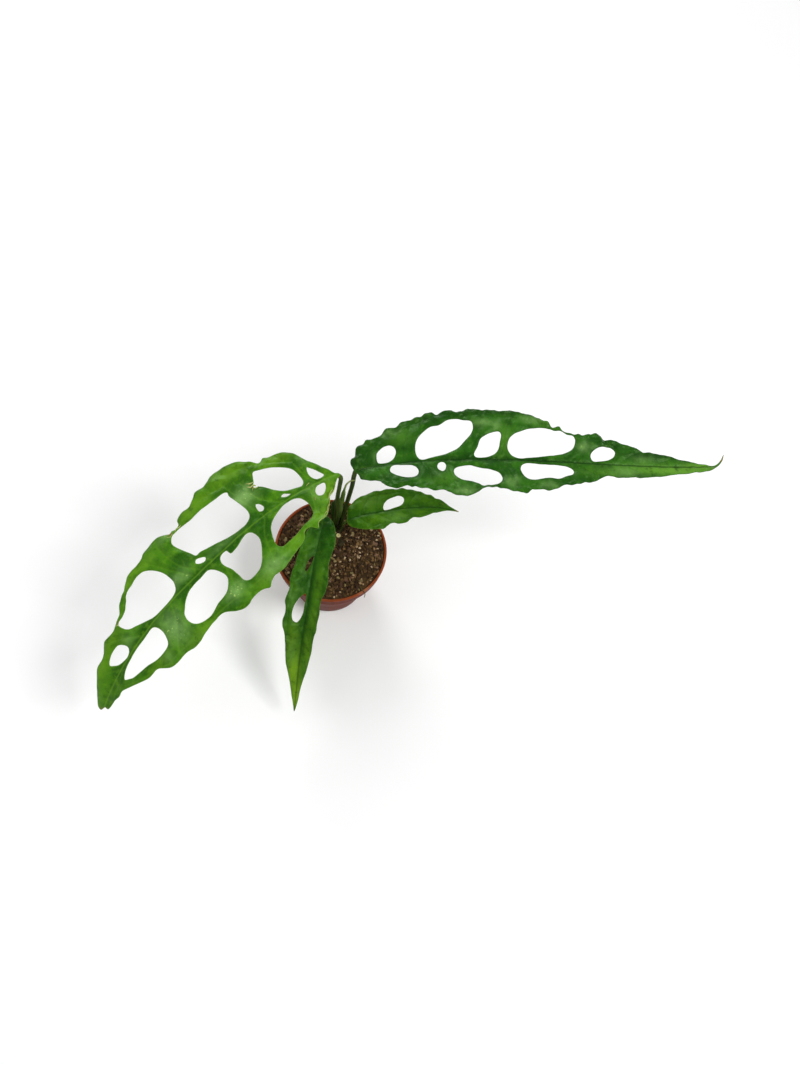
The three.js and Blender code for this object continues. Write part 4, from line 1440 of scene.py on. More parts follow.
@dataclass
class Stub:
    """The stub of an old cut stalk."""

    foot: Point = (4.5, 10.4, 50)
    top: Point = (4.8, 10.6, 62.8)
    radius: float = 1.75
    pith: float = 0.6
    sectors: int = 40

    def build(self) -> Piece:
        """Makes the stub, with a sunken ring between its rim and its pith."""
        start, end = array((self.foot, self.top))
        length = float(np.linalg.norm(end - start))
        r, core = self.radius, self.pith
        profile = array([(0, 0), (r * 0.9, 0), (r * 1.1, length * 0.4), (r * 1.03, length * 0.8),
                         (r, length - 0.5), (r * 0.97, length - 0.15), (r * 0.88, length),
                         (r * 0.74, length - 0.06), (r * 0.6, length - 0.32), (core, length - 0.36),
                         (core * 0.7, length - 0.12), (core * 0.3, length - 0.1), (0, length - 0.1)])
        points, faces = turned(profile, self.sectors)
        reach = np.hypot(points[:, 0], points[:, 1])
        cut = (points[:, 2] > length - 0.5) & (reach < r * 0.99)
        points[:, :2] *= (1 + 0.05 * wobble(points, 1.1, 6.0))[:, None]
        points[:, 2] += 0.1 * wobble(points, 0.7, 2.0) * cut
        turn = Vector((0, 0, 1)).rotation_difference(Vector(end - start)).to_matrix()
        points = points @ np.array(turn).T + start
        attributes = {"cut": cut * 1.0, "pith": bump(reach, 0.4)}
        return make_piece(make_mesh("stub", points, faces, attributes), STUB)

    def dress(self, piece: Piece) -> None:
        """Rides the stub on the plant's body, in place of its solid."""
        settle(piece, "cut_stub", "cut_stub")


# Pot and soil


@dataclass
class Pot:
    """The round nursery pot: a moulded shell with a collar, a rolled lip and a ring of drain holes."""

    height: float = 60.0
    rim_radius: float = 42.5
    base_radius: float = 28.5
    wall: float = 1.0
    collar_height: float = 10.0
    collar_step: float = 1.9
    lip_height: float = 1.8
    lip_overhang: float = 0.7
    drain_holes: int = 6
    drain_radius: float = 3.0
    drain_ring: float = 20.0
    sectors: int = 160
    drill_sides: int = 32
    turn: float = 20.0
    sharp_angle: float = 38.0

    def inner_radius(self, z: float) -> float:
        """The shell's inner radius at a height."""
        low = self.base_radius - self.wall
        high = self.rim_radius - self.lip_overhang - self.wall
        return low + (high - low) * (z - self.wall) / (self.height - self.wall)

    def _profile(self) -> Array:
        """Radius and height along the wall, from the underside's middle to the floor's middle."""
        foot = self.height - self.collar_height
        body = self.inner_radius(foot) + self.wall
        collar = self.rim_radius - self.lip_overhang
        base, rim, top = self.base_radius, self.rim_radius, self.height
        under_lip = top - self.lip_height
        brim, floor = self.inner_radius(top), self.wall
        return array([
            (0, 0.5), (base - 5, 0.5), (base - 4.4, 0.35), (base - 4, 0), (base - 1, 0), (base - 0.3, 0.3),
            (base, 1), (base + (body - base) * 0.5, foot / 2), (body, foot - 0.6),
            (body + 0.25, foot - 0.35), (body + self.collar_step - 0.35, foot + 0.1),
            (body + self.collar_step - 0.08, foot + 0.3), (body + self.collar_step, foot + 0.7),
            (collar, under_lip - 0.2), (collar + 0.1, under_lip), (rim - 0.25, under_lip + 0.12),
            (rim - 0.06, under_lip + 0.35), (rim, under_lip + 0.8), (rim - 0.05, top - 0.5),
            (rim - 0.25, top - 0.18), (rim - 0.5, top - 0.03), (rim - 0.8, top),
            (brim + 0.4, top), (brim + 0.12, top - 0.08), (brim, top - 0.3),
            (self.inner_radius(floor + 1), floor + 1), (self.inner_radius(floor) - 0.6, floor), (0, floor),
        ])

    def build(self) -> Piece:
        """Turns the profile and drills the holes."""
        profile = self._profile()
        flat = np.column_stack([profile[:, 0] - self.turn, -profile[:, 1], np.zeros(len(profile))])
        edges = [(i, i + 1) for i in range(len(flat) - 1)]
        host = make_mesh("pot_profile", flat, [], None, edges)
        recipe = Recipe("pot_turning", {
            "Sectors": self.sectors, "Turn": self.turn * MM, "Holes": self.drain_holes,
            "Ring": self.drain_ring * MM, "Drill": self.drain_radius * MM, "Depth": 4 * self.wall * MM,
        })
        add, size = recipe.graph.add, recipe.size
        section = add("GeometryNodeMeshToCurve", {"Mesh": recipe.source})
        circle = add("GeometryNodeCurvePrimitiveCircle",
                     {"Resolution": size("Sectors"), "Radius": size("Turn")})
        shell = add("GeometryNodeCurveToMesh", {"Curve": circle, "Profile Curve": section})
        shell = add("GeometryNodeMergeByDistance", {"Geometry": shell, "Distance": 1e-6})
        ring = add("GeometryNodeMeshCircle", {"Vertices": size("Holes"), "Radius": size("Ring")})
        drill = add("GeometryNodeMeshCylinder",
                    {"Vertices": self.drill_sides, "Radius": size("Drill"), "Depth": size("Depth")})
        drills = add("GeometryNodeInstanceOnPoints", {"Points": ring, "Instance": drill})
        drills = add("GeometryNodeRealizeInstances", {"Geometry": drills})
        drilled = add("GeometryNodeMeshBoolean", {"Mesh 1": shell, "Mesh 2": drills},
                      operation="DIFFERENCE", solver="EXACT")
        recipe.end(drilled, POT.material())
        piece = recipe.run("pot_shell", host)
        piece.data.shade_smooth()
        piece.data.set_sharp_from_angle(angle=math.radians(self.sharp_angle))
        return piece

    def dress(self, piece: Piece) -> None:
        """Rides the pot on the plant's body, in place of its solid."""
        settle(piece, "pot", "pot")


@dataclass(frozen=True)
class Grain:
    """One kind of loose bit in the potting mix."""

    name: str
    form: GrainForm
    finish: Finish
    density: float
    least: Point
    most: Point
    seed: int
    tilt: float = 3.1
    lift: float = 0.1
    roughness: float = 0.4
    patchiness: float = 0.0


@dataclass
class Soil:
    """The potting mix: a rough heaped bed, and the lumps, grit, bark and fibres that lie on it."""

    pot: Pot
    stem: Point
    brim_drop: float = 1.4
    heap: float = 1.5
    heap_spread: float = 22.0
    step: float = 0.8
    lumpiness: float = 0.8
    rim_points: int = 300
    rim_gap: float = 0.2
    wall_gap: float = 0.3
    calm_width: float = 2.5
    strewn_height: float = 58.0
    strewn_gap: float = 1.3
    patch_scale: float = 90.0
    fibre_radius: float = 0.18
    size_seed: int = 99
    tint_seed: int = 7
    grains: tuple[Grain, ...] = (
        Grain("soil_crumbs", GrainForm.LUMP, CRUMB, 200000, (0.8, 0.6, 0.5), (2.4, 1.8, 1.2), 5,
              roughness=0.7),
        Grain("soil_husks", GrainForm.LUMP, HUSK, 13000, (1.2, 0.8, 0.6), (3.0, 1.5, 0.9), 44,
              tilt=0.5, lift=0.35, roughness=0.9),
        Grain("soil_grit", GrainForm.LUMP, GRIT, 62000, (0.5, 0.45, 0.4), (1.9, 1.3, 1.0), 12,
              lift=0.55, roughness=0.5, patchiness=0.51),
        Grain("soil_bark", GrainForm.CHIP, BARK, 24000, (0.9, 0.5, 0.25), (2.6, 1.3, 0.6), 21,
              tilt=0.6, lift=0.4, roughness=0.7),
        Grain("soil_fibres", GrainForm.FIBRE, FIBRE, 11000, (3, 3, 3), (8, 8, 8), 33,
              tilt=0.35, lift=0.7, roughness=2.0),
    )

    def height_at(self, x: Array, y: Array) -> Array:
        """The bed's height without its roughness."""
        away = np.hypot(x - self.stem[0], y - self.stem[1]) / self.heap_spread
        return self.pot.height - self.brim_drop + self.heap * np.exp(-(away**2))

    def build(self) -> Piece:
        """Makes the bed."""
        brim = float(self.height_at(np.array(0.0), np.array(-self.pot.rim_radius)))
        radius = self.pot.inner_radius(brim) - self.rim_gap
        rim = radius * circle_points(self.rim_points)
        across = np.arange(-radius, radius, self.step)
        rows = np.stack(np.meshgrid(across, across), axis=-1).reshape(-1, 2)
        rows = rows[np.hypot(*rows.T) < radius - self.step * 0.6]
        flat, triangles = cut_sheet([rim], rows)
        x, y = flat.T
        calm = 1 - smooth_step(np.hypot(x, y), radius - self.calm_width, radius)
        rough = (0.6 * wobble(flat, 6, 1.0) + 0.9 * np.abs(wobble(flat, 2.3, 2.0))
                 + 0.45 * wobble(flat, 1.0, 3.0))
        top = np.column_stack([x, y, self.height_at(x, y) + self.lumpiness * rough * (0.3 + 0.7 * calm)])
        foot = self.pot.wall + self.wall_gap
        shrink = (self.pot.inner_radius(foot) - self.wall_gap) / radius
        bottom = np.column_stack([x * shrink, y * shrink, np.full(len(x), foot)])
        points, faces, *_ = close_sheet(top, bottom, triangles, 0.0)
        return make_piece(make_mesh("soil_bed", points, faces), SOIL)

    def _recipe(self, grain: Grain) -> Recipe:
        """The tree that strews one kind of grain over the bed.

        Args:
            grain: The kind, with its sizes and seed.

        Returns:
            The recipe; its host mesh is the bed's.
        """
        reach = self.pot.inner_radius(self.strewn_height) - self.strewn_gap
        recipe = Recipe(grain.name + "_strewing", {
            "Density": grain.density, "Seed": grain.seed, "Lift": grain.lift * MM,
            "Roughness": grain.roughness * MM, "Reach": reach * MM, "Patchiness": grain.patchiness,
        })
        graph, size = recipe.graph, recipe.size
        add = graph.add
        place = add("ShaderNodeSeparateXYZ", {"Vector": add("GeometryNodeInputPosition")})
        away = (place * place + place.sibling("Y") * place.sibling("Y")) ** 0.5
        up = add("ShaderNodeSeparateXYZ", {"Vector": add("GeometryNodeInputNormal")}, "Z")
        near = graph.maths("LESS_THAN", away, size("Reach")) * graph.maths("GREATER_THAN", up, 0.3)
        cloud = add("ShaderNodeTexNoise", {"Scale": self.patch_scale, "Detail": 2.0})
        near = near * graph.maths("GREATER_THAN", cloud, size("Patchiness"))
        points = add("GeometryNodeDistributePointsOnFaces", {
            "Mesh": recipe.source, "Selection": near, "Density": size("Density"), "Seed": size("Seed"),
        })
        points = graph.moved(points, add("ShaderNodeCombineXYZ", {"Z": size("Lift")}))
        turn = add("FunctionNodeRandomValue", {
            0: (-grain.tilt, -grain.tilt, 0), 1: (grain.tilt, grain.tilt, 2 * math.pi), "Seed": size("Seed"),
        }, data_type="FLOAT_VECTOR")
        least, most = (tuple(side * MM for side in sides) for sides in (grain.least, grain.most))
        scale = add("FunctionNodeRandomValue", {0: least, 1: most, "Seed": self.size_seed},
                    data_type="FLOAT_VECTOR")
        grown = add("GeometryNodeInstanceOnPoints", {
            "Points": points, "Instance": self._shape(graph, grain.form), "Rotation": turn, "Scale": scale,
        })
        tint = add("FunctionNodeRandomValue", {2: 0.0, 3: 1.0, "Seed": self.tint_seed}, 1, data_type="FLOAT")
        grown = add("GeometryNodeStoreNamedAttribute", {"Geometry": grown, "Name": "tint", "Value": tint},
                    data_type="FLOAT", domain="INSTANCE")
        real = add("GeometryNodeRealizeInstances", {"Geometry": grown})
        cloud = add("ShaderNodeTexNoise", {"Scale": 260 if grain.form is GrainForm.FIBRE else 900}, "Color")
        stray = add("ShaderNodeVectorMath", {0: cloud, 1: (0.5, 0.5, 0.5)}, operation="SUBTRACT")
        rough = graph.moved(real, graph.scaled(stray, size("Roughness")))
        if grain.form is GrainForm.FIBRE:
            circle = add("GeometryNodeCurvePrimitiveCircle",
                         {"Resolution": 4, "Radius": self.fibre_radius * MM})
            rough = add("GeometryNodeCurveToMesh",
                        {"Curve": rough, "Profile Curve": circle, "Fill Caps": True})
        recipe.end(rough, grain.finish.material())
        return recipe

    @staticmethod
    def _shape(graph: Graph, form: GrainForm) -> Value:
        """One grain about 2 across, or a fibre 1 long.

        Args:
            graph: The tree that it is drawn in.
            form: Which form it has.

        Returns:
            Its mesh or curve.
        """
        if form is GrainForm.LUMP:
            return graph.add("GeometryNodeMeshIcoSphere", {"Radius": 1.0, "Subdivisions": 1})
        if form is GrainForm.CHIP:
            return graph.add("GeometryNodeMeshCube", {
                "Size": (2, 2, 2), "Vertices X": 3, "Vertices Y": 3, "Vertices Z": 2,
            })
        line = graph.add("GeometryNodeCurvePrimitiveLine", {"Start": (-0.5, 0, 0), "End": (0.5, 0, 0)})
        return graph.add("GeometryNodeResampleCurve", {"Curve": line, "Count": 7})

    def strew(self, grain: Grain, bed: Piece) -> Piece:
        """Strews one kind of grain over the bed."""
        piece = self._recipe(grain).run(grain.name, bed.data)
        piece.data.shade_flat()
        return piece

    def dress(self, bed: Piece, loose: Sequence[Piece]) -> None:
        """Rides the bed and its grains on the plant's body; the bed takes the place of the soil's solid."""
        settle(bed, "soil", "soil")
        for piece in loose:
            settle(piece, "soil")


@dataclass
class Roots:
    """Thin dry roots: one hangs over the pot's lip, one lies against the stub, others on the soil."""

    lines: tuple[tuple[float, Line], ...]
    taper: float = 0.55
    step: float = 0.6
    sides: int = 8
    roughness: float = 0.00015

    def build(self) -> Piece:
        """Grows them along their lines."""
        paths = [catmull(points, self.step) for _, points in self.lines]
        girths = [np.linspace(radius, radius * self.taper, len(path))
                  for (radius, _), path in zip(self.lines, paths)]
        host = wire_mesh("roots_host", paths, girths, [np.zeros(len(path)) for path in paths])
        return stalk_recipe("root_growth", self.sides, 0.0, self.roughness, ROOT).run("loose_roots", host)

    def dress(self, piece: Piece) -> None:
        """Rides the roots on the plant's body."""
        settle(piece, "soil")


@dataclass
class Strands:
    """Dried strands and torn flakes that cling to a blade's edges."""

    name: str
    slot: str
    form: Form
    strips: tuple[tuple[float, float, Line], ...]
    taper: Line = ((0, 0.5), (0.25, 1), (0.7, 0.8), (1, 0.2))
    step: float = 0.35

    def build(self) -> Piece:
        """Makes each strip along its points of u, v and height over the blade."""
        parts = []
        for index, (half_width, thickness, points) in enumerate(self.strips):
            u, v, height = catmull(points, self.step).T
            path = self.form.points(u, v, height)
            taper = read_table(self.taper, np.linspace(0, 1, len(path)))
            parts.append(ribbon(path, half_width * taper, (0.3, 0.5, 0.8), 0.5, thickness,
                                crinkle=half_width * 0.6, seed=20.0 + index))
        points, faces = joined(parts)
        return make_piece(make_mesh(self.name, points, faces), DRIED)

    def dress(self, piece: Piece) -> None:
        """Rides the strands on the plant's body."""
        settle(piece, self.slot)


# Surroundings


@dataclass
class Studio:
    """A pale floor, soft lights and the camera."""

    eye: Point = (-1.5, -253.25, 614.26)
    right: Point = (0.99386915, 0.02391617, 0.10794502)
    up: Point = (-0.06865094, 0.89880292, 0.43294383)
    lens: float = 27.04
    sensor: float = 36.0
    floor_size: float = 6.0
    floor_drop: float = 0.0004
    air: float = 0.42
    aim: Point = (0, 0, 0.1)
    lights: tuple[tuple[str, Point, float, float], ...] = (
        ("key", (1.2, -0.5, 1.8), 0.8, 27.0),
        ("fill", (-1.6, -0.4, 1.5), 1.4, 8.0),
        ("back", (-0.7, 2.0, 1.4), 1.0, 22.0),
    )

    def build(self) -> None:
        """Makes floor, lights, world and camera."""
        scene = bpy.context.scene
        half = self.floor_size / 2
        mesh = bpy.data.meshes.new("floor")
        corners = [(x * half, y * half, -self.floor_drop) for x, y in ((-1, -1), (1, -1), (1, 1), (-1, 1))]
        mesh.from_pydata(corners, [], [(0, 1, 2, 3)])
        make_piece(mesh, FLOOR, False)
        for name, place, width, power in self.lights:
            light = bpy.data.lights.new(name, "AREA")
            light.shape = "DISK"
            light.size = width
            light.energy = power
            lamp = place_object(name, light)
            lamp.location = place
            lamp.rotation_euler = (Vector(self.aim) - Vector(place)).to_track_quat("-Z", "Y").to_euler()
        world = bpy.data.worlds.new("studio_air")
        world.use_nodes = True
        graph = Graph(world.node_tree)
        air = graph.add("ShaderNodeBackground", {"Color": (1, 1, 1, 1), "Strength": self.air})
        graph.add("ShaderNodeOutputWorld", {"Surface": air})
        scene.world = world
        scene.view_settings.view_transform = "Standard"
        self._set_camera(scene)

    def _set_camera(self, scene: bpy.types.Scene) -> None:
        """Places the camera at the photograph's angle."""
        data = bpy.data.cameras.new("camera")
        data.lens = self.lens
        data.sensor_width = self.sensor
        data.sensor_fit = "AUTO"
        camera = place_object("camera", data)
        right, up = Vector(self.right), Vector(self.up)
        turn = Matrix((right, up, right.cross(up))).transposed().to_4x4()
        camera.matrix_world = Matrix.Translation(Vector(self.eye) * MM) @ turn
        scene.camera = camera


# Outlines and holes of the flat leaves: distance along the midrib, and across it to the left

LEFT_OUTLINE = (
    (233.4, -1.9), (229.6, 0.4), (229.8, 2.6), (219.5, 5.4), (214.5, 7.2), (210.5, 7.2), (203, 11.3),
    (195.9, 15.6), (188.6, 19.5), (179.5, 21.3), (175.9, 24.5), (172.3, 28.1), (168, 29.9), (161, 30.5),
    (155, 31.3), (149.5, 33.3), (144, 33.8), (135, 32.3), (124.5, 31.4), (120, 32.3), (116.8, 34.6),
    (113, 37.8), (109, 39.8), (104, 40.6), (100, 39.6), (94.7, 38.4), (89.7, 39.5), (85.8, 41.2),
    (82.5, 39), (79, 37.6), (74, 38.2), (70, 38), (65, 36.5), (60, 34.8), (55, 32.9), (50, 31.6),
    (46.5, 29.7), (44, 26.4), (41.5, 25.4), (38.2, 25.8), (34.6, 29.6), (32, 26.2), (25.6, 24.9),
    (22.9, 23.6), (19.3, 20), (15.8, 15.8), (14.5, 13.3), (11.5, 12.2), (8.4, 10.1), (5.6, 6.9), (2, 3.4),
    (-0.9, 2), (-1, 0.2), (1.1, -1.3), (3.8, -5.4), (6.5, -9.5), (10.2, -14), (12.9, -17.6), (14.7, -20.8),
    (16.5, -24.9), (19.3, -28.5), (22.9, -31.3), (28.4, -34.2), (32.9, -34.7), (35.6, -36), (38.4, -34),
    (40.2, -33.8), (44.7, -38.1), (49.3, -42.2), (52, -43.9), (57.5, -45.8), (63, -46.8), (69.3, -45.8),
    (72.9, -43.5), (76.5, -41.9), (82, -42.9), (85.6, -39.9), (90.2, -37.6), (95.6, -38.4), (99.3, -37.6),
    (102, -35.4), (102.8, -32.8), (106.5, -32), (108.6, -32.8), (110.4, -31.9), (113.2, -33.4),
    (117.7, -36), (123.2, -36.9), (130.5, -35.8), (133.2, -34.2), (138, -33.4), (144, -33.5),
    (150.5, -31.6), (155, -28.6), (159.5, -27.8), (163.2, -26), (168.6, -21.6), (172.7, -20.1),
    (175.5, -19.2), (179.5, -18.1), (185, -18.9), (188.6, -19.4), (191.4, -18.3), (195, -16),
    (199.5, -14.7), (205.9, -15.1), (212.3, -12.4), (223.2, -7.8), (231.8, -4.2),
)
LEFT_HOLES = (
    ((11.8, 2.5), (12.2, 5.1), (14.7, 8.3), (17.9, 9.8), (20.6, 8.7), (20.9, 6), (19.3, 3.5), (16.5, 1.9)),
    ((29.5, 9.6), (29.8, 15.1), (31.1, 18.3), (34.7, 20.8), (42, 22.4), (50.2, 24.6), (57.5, 25.5),
     (61.5, 25.6), (63.9, 23.7), (64.1, 20.1), (62, 14.2), (59.3, 9.6), (55.6, 6.5), (50.2, 3.9), (43.8, 2),
     (37.5, 1.8), (32.9, 3.3), (30.6, 6)),
    ((70, 10.1), (71.1, 14.2), (73.8, 18.7), (78.4, 24.2), (82.9, 27.5), (88.4, 28.8), (92.9, 28.7),
     (95.6, 26.5), (96.1, 21.5), (97, 15.1), (98.8, 10.5), (99.1, 6.9), (97.5, 3.7), (94.7, 2.6),
     (91.6, 2.9), (90.7, 6.2), (88.4, 6.5), (82.9, 5.4), (78.4, 3.7), (73.8, 3), (71.3, 4.6)),
    ((102.4, 15.1), (102.9, 18.3), (105.4, 21.6), (109.8, 24.3), (118.6, 25.5), (123.2, 26.7),
     (128.6, 27.6), (133.2, 26.7), (136.8, 25.1), (139.5, 22.2), (140.5, 17.6), (139.5, 14), (135.9, 10.4),
     (130.5, 6.7), (125, 4.7), (115.9, 4.5), (108.6, 4.5), (105.8, 6.8), (103.4, 11.4)),
    ((157.5, 8.5), (158.2, 12.6), (160.5, 16.7), (163.2, 18.5), (168.6, 18.7), (175, 17.5), (182.3, 14.5),
     (188.6, 12.6), (195.9, 10.2), (199.1, 7.8), (201.4, 5.4), (195.9, 2.9), (188.6, 2), (179.5, 1.6),
     (170.5, 1.9), (160.5, 2.2), (158.4, 4.5)),
    ((8.4, -3.5), (10.2, -2.4), (14.7, -2.8), (17, -5.8), (17.5, -8.5), (17, -11.3), (15.8, -13.5),
     (13.8, -11.3), (11.1, -7.6)),
    ((23.3, -5.5), (25.6, -3.5), (31.1, -4.3), (37.5, -6.7), (42, -10.4), (45.6, -14.9), (48.8, -18.5),
     (51.5, -18.9), (52, -21.1), (50.2, -23.1), (48.4, -26.7), (46.5, -29.7), (42, -28.5), (34.7, -25.8),
     (28.4, -21.3), (24.7, -16.7), (23.2, -10.4)),
    ((35.4, -2.3), (38.4, -2.2), (41.5, -4.4), (39.3, -5.2), (36.8, -3.7)),
    ((54.7, -4.9), (56.5, -3.1), (58.8, -4), (59, -7.4), (57.9, -9.6), (56.1, -8.5)),
    ((64.6, -8.5), (66.1, -4.9), (69.3, -3.1), (76.5, -2.2), (84.7, -3.1), (92, -4.9), (99.3, -6.9),
     (104.7, -8.5), (107.8, -8.6), (109.5, -12.4), (111.8, -17.8), (113.6, -23.3), (113.7, -26),
     (112.2, -28.4), (110, -30.2), (105.6, -30.5), (101.1, -30.2), (94.7, -29.7), (87.5, -30.1),
     (79.3, -29.7), (68.4, -29.7), (66.9, -28.3), (67.6, -26.3), (66.5, -20.4), (65.2, -14.9)),
    ((104.2, -3.4), (105.8, -1.7), (109.5, -2.6), (111.4, -4.9), (109.8, -6.5), (106.7, -5.5)),
    ((129.4, -10.5), (130, -6), (132.3, -2.4), (135.9, -0.9), (145.9, -0.6), (155, -1.7), (160.5, -4.2),
     (166.8, -7.4), (172, -10.5), (173.9, -14.2), (174, -18.1), (168.6, -18.9), (164.1, -20), (161.4, -22),
     (156.8, -25.5), (150.5, -26.9), (143.2, -28.1), (138.6, -27.4), (134.1, -23.3), (130.5, -16.9)),
    ((181.6, -4.2), (183.2, -1.9), (186.8, -0.9), (191.4, -1.5), (195.9, -3.3), (198.6, -6), (199.9, -8),
     (197.7, -9.8), (190.5, -11), (185, -10.4), (182.6, -7.8)),
)
RIGHT_OUTLINE = (
    (267, 8.8), (263, 4.6), (259.5, 2.2), (256, 1), (251, 1.2), (243, 2.8), (234, 4.8), (226, 6.3),
    (222, 7.7), (215, 9), (207, 10.2), (199, 10.9), (192, 14.5), (186, 15.8), (179, 18.2), (171.5, 18.9),
    (168, 22.4), (165, 23), (160, 21.6), (154, 21.6), (149, 21.8), (144, 23.9), (140, 25.6), (135.5, 25.8),
    (132, 29.2), (129, 30), (126.5, 32.3), (122, 34), (118, 36), (114, 34.9), (110, 36.2), (106, 37.7),
    (99, 37.1), (96, 38.2), (92, 38.2), (89, 37.2), (85, 36.7), (81, 38.2), (76, 38), (71, 37),
    (66.5, 37.6), (63, 37.5), (60, 36.1), (57, 35), (54, 36), (50, 35.8), (46.5, 34), (42, 33),
    (39.5, 31.5), (35, 31), (33, 29.5), (30.5, 26.6), (26.5, 27), (23, 26), (20, 22.6), (17, 20.5),
    (11, 20.3), (8, 17.9), (5, 17), (3, 15.5), (1.8, 12.5), (0.8, 9), (-1.8, 7.6), (-2.5, 5.5), (-1.6, 2),
    (-1, 0), (0, -1.8), (2, -5), (3, -8), (6, -10.2), (13, -11.3), (16, -13), (19, -16.5), (23, -19),
    (28, -19.7), (35, -19), (39, -20.5), (43, -22.3), (50, -22.8), (53, -24.5), (60, -25), (64, -26.8),
    (68, -29.5), (73, -30), (78, -29.2), (83, -26.8), (87, -24.2), (92, -23.5), (100, -23.4), (105, -25),
    (110, -26.3), (113, -27.7), (116, -27.2), (119, -25.2), (125, -23.9), (131, -24), (136, -22),
    (140, -19.8), (145, -19), (151, -18.2), (156, -16), (162, -14.7), (166, -12.5), (170, -10.1),
    (175, -9.9), (181, -11), (189, -10.1), (198, -9.7), (209, -8.2), (219, -6.7), (230, -5.5), (238, -4.4),
    (245, -4), (252, -2.8), (256, -1), (260, 1), (264.3, 4.3),
)
RIGHT_HOLES = (
    ((15.5, 4), (16, 9), (17.5, 10.7), (21, 13), (24.5, 13.8), (27.5, 12.5), (29, 9), (27.5, 4.5), (24, 2),
     (20, 1.3), (16.3, 2)),
    ((42, 10), (43, 15), (46.5, 20), (52, 24.5), (59, 26.3), (65, 30.1), (71, 31), (76, 29.5), (80, 28.3),
     (81.2, 23.5), (79.5, 18.5), (75, 13), (70, 8), (64, 5), (56, 3), (47, 1.1), (44.3, 1.8), (42.4, 5)),
    ((81.5, 4), (82.5, 1.9), (90, 1.8), (95, 4), (98, 7.5), (99.2, 13), (100, 19), (98.5, 21), (95.5, 20.8),
     (90.5, 18.5), (86, 15), (84, 9.5)),
    ((104.2, 10), (105.5, 15.5), (109, 19.5), (114, 21.7), (119, 24), (126, 25), (131, 24.8), (137, 23),
     (142, 22.2), (147, 20.3), (150, 19.2), (151.1, 16.5), (150.5, 13), (148.5, 9.5), (144, 7), (135, 4.5),
     (125, 3), (118, 2), (112, 1.5), (108, 3), (105, 6.5)),
    ((23.8, -6), (24.5, -2.5), (27, -1.2), (32, -1.7), (38, -2.5), (42, -4.5), (43.5, -8), (42.5, -11),
     (39, -12.5), (32, -11.5), (27, -9)),
    ((56.2, -5), (57.5, -2.2), (60, -1.5), (62.2, -3.5), (61.8, -7.5), (60.2, -9.3), (57.5, -8)),
    ((67.3, -10), (68.5, -7), (72, -5.5), (78, -4.8), (84, -6.5), (92, -8.5), (97.5, -10.5), (100.2, -15),
     (99, -19), (94.5, -21), (89, -21.8), (85, -20.8), (80, -18.2), (72, -16.5), (68.5, -13.5)),
    ((112.7, -8), (113.5, -4.5), (116.5, -2.6), (125, -2.7), (135, -2.5), (142, -3.3), (147, -5),
     (148.8, -7), (148.2, -9.5), (144, -11.5), (138, -14), (131, -14), (126, -15.3), (122, -16),
     (118, -15.5), (115, -13)),
    ((161.3, 5), (162.5, 8.5), (167, 12.2), (172, 13), (177, 12), (179.2, 9.5), (178, 6), (174, 3.5),
     (168, 2), (163, 2.1)),
)
SMALL_OUTLINE = (
    (85.4, 0.2), (81.9, 1.1), (77.6, 2.7), (73.3, 5.3), (69.7, 7), (66.9, 7.3), (63.6, 9.7), (60.4, 10.4),
    (57.6, 12.2), (54.7, 12.8), (51.1, 14.6), (46.9, 14.5), (43.3, 15.6), (39.7, 15.3), (36.5, 16),
    (32.6, 16.3), (28.3, 15.4), (24, 16.3), (19.7, 15.2), (14.7, 14.6), (10.4, 13.2), (6.1, 10.7),
    (2.6, 7.2), (0.8, 3.3), (-0.6, -0.5), (-1, -3.1), (-0.4, -5.3), (1.9, -7.8), (6.1, -10.3),
    (10.4, -12.3), (15.4, -13.5), (20.4, -14.6), (24, -14.8), (27.6, -13.5), (30.4, -12.2), (33.3, -12.3),
    (36.9, -13.1), (39.7, -12.7), (43.3, -12.2), (46.1, -10.3), (49, -8.8), (53.3, -9.4), (56.9, -8.3),
    (61.1, -6.9), (65.4, -4.9), (69, -4), (72.6, -2.5), (76.9, -1.2), (81.1, -0.5),
)
SMALL_HOLES = (
    ((27.9, 0), (27.6, 2), (29, 5.1), (32.6, 8.1), (36.9, 9.4), (40.4, 9.7), (43.3, 8.2), (43.9, 6),
     (42.6, 3.3), (39.7, 1.5), (35.4, 0.6), (31.1, -0.1)),
)
FRONT_OUTLINE = (
    (151.1, 0), (146.7, 1), (140, 2), (131.1, 2.8), (123.3, 4.1), (115.6, 5.8), (107.8, 7), (100, 8.1),
    (94, 8.2), (88.5, 8.7), (84.4, 9.7), (78.9, 9.7), (72.2, 10.4), (65.6, 9.9), (61.1, 10.4), (56.7, 12),
    (52.2, 12.7), (47.8, 13), (41.1, 11.9), (34.4, 11.1), (27.8, 11.6), (21.1, 12.4), (14.4, 11.3),
    (7.8, 9.1), (3.3, 6.3), (0.6, 3), (-0.2, 0), (1.8, -2.6), (5.5, -5.8), (11, -8.6), (18, -10.4),
    (26, -11.4), (34.4, -12.2), (40, -12.6), (45.6, -13.7), (51.1, -14), (56.7, -13.3), (61.1, -14.2),
    (65.6, -15.1), (70, -14), (74.4, -13.8), (78.9, -14.8), (83.3, -14.2), (87.8, -12.6), (93.3, -11.5),
    (102.2, -10.3), (111.1, -9), (118.9, -6.7), (127.8, -4.6), (136.7, -2.9), (145.6, -1.1),
)
FRONT_HOLES = (
    ((30.9, -0.9), (34.4, -0.8), (39.5, -2.2), (43.3, -4), (42, -5), (36.7, -4.4), (32.8, -2.8)),
    ((58.7, -1.6), (61.1, -0.7), (66.7, -1), (72.8, -1.3), (77.8, -3), (80, -4.9), (78.9, -7.6), (74.4, -9),
     (67.8, -8.2), (63.3, -6), (60.4, -3.8)),
)

# Forms: the Bezier points of each midrib on the plant, and how its sheet is bent

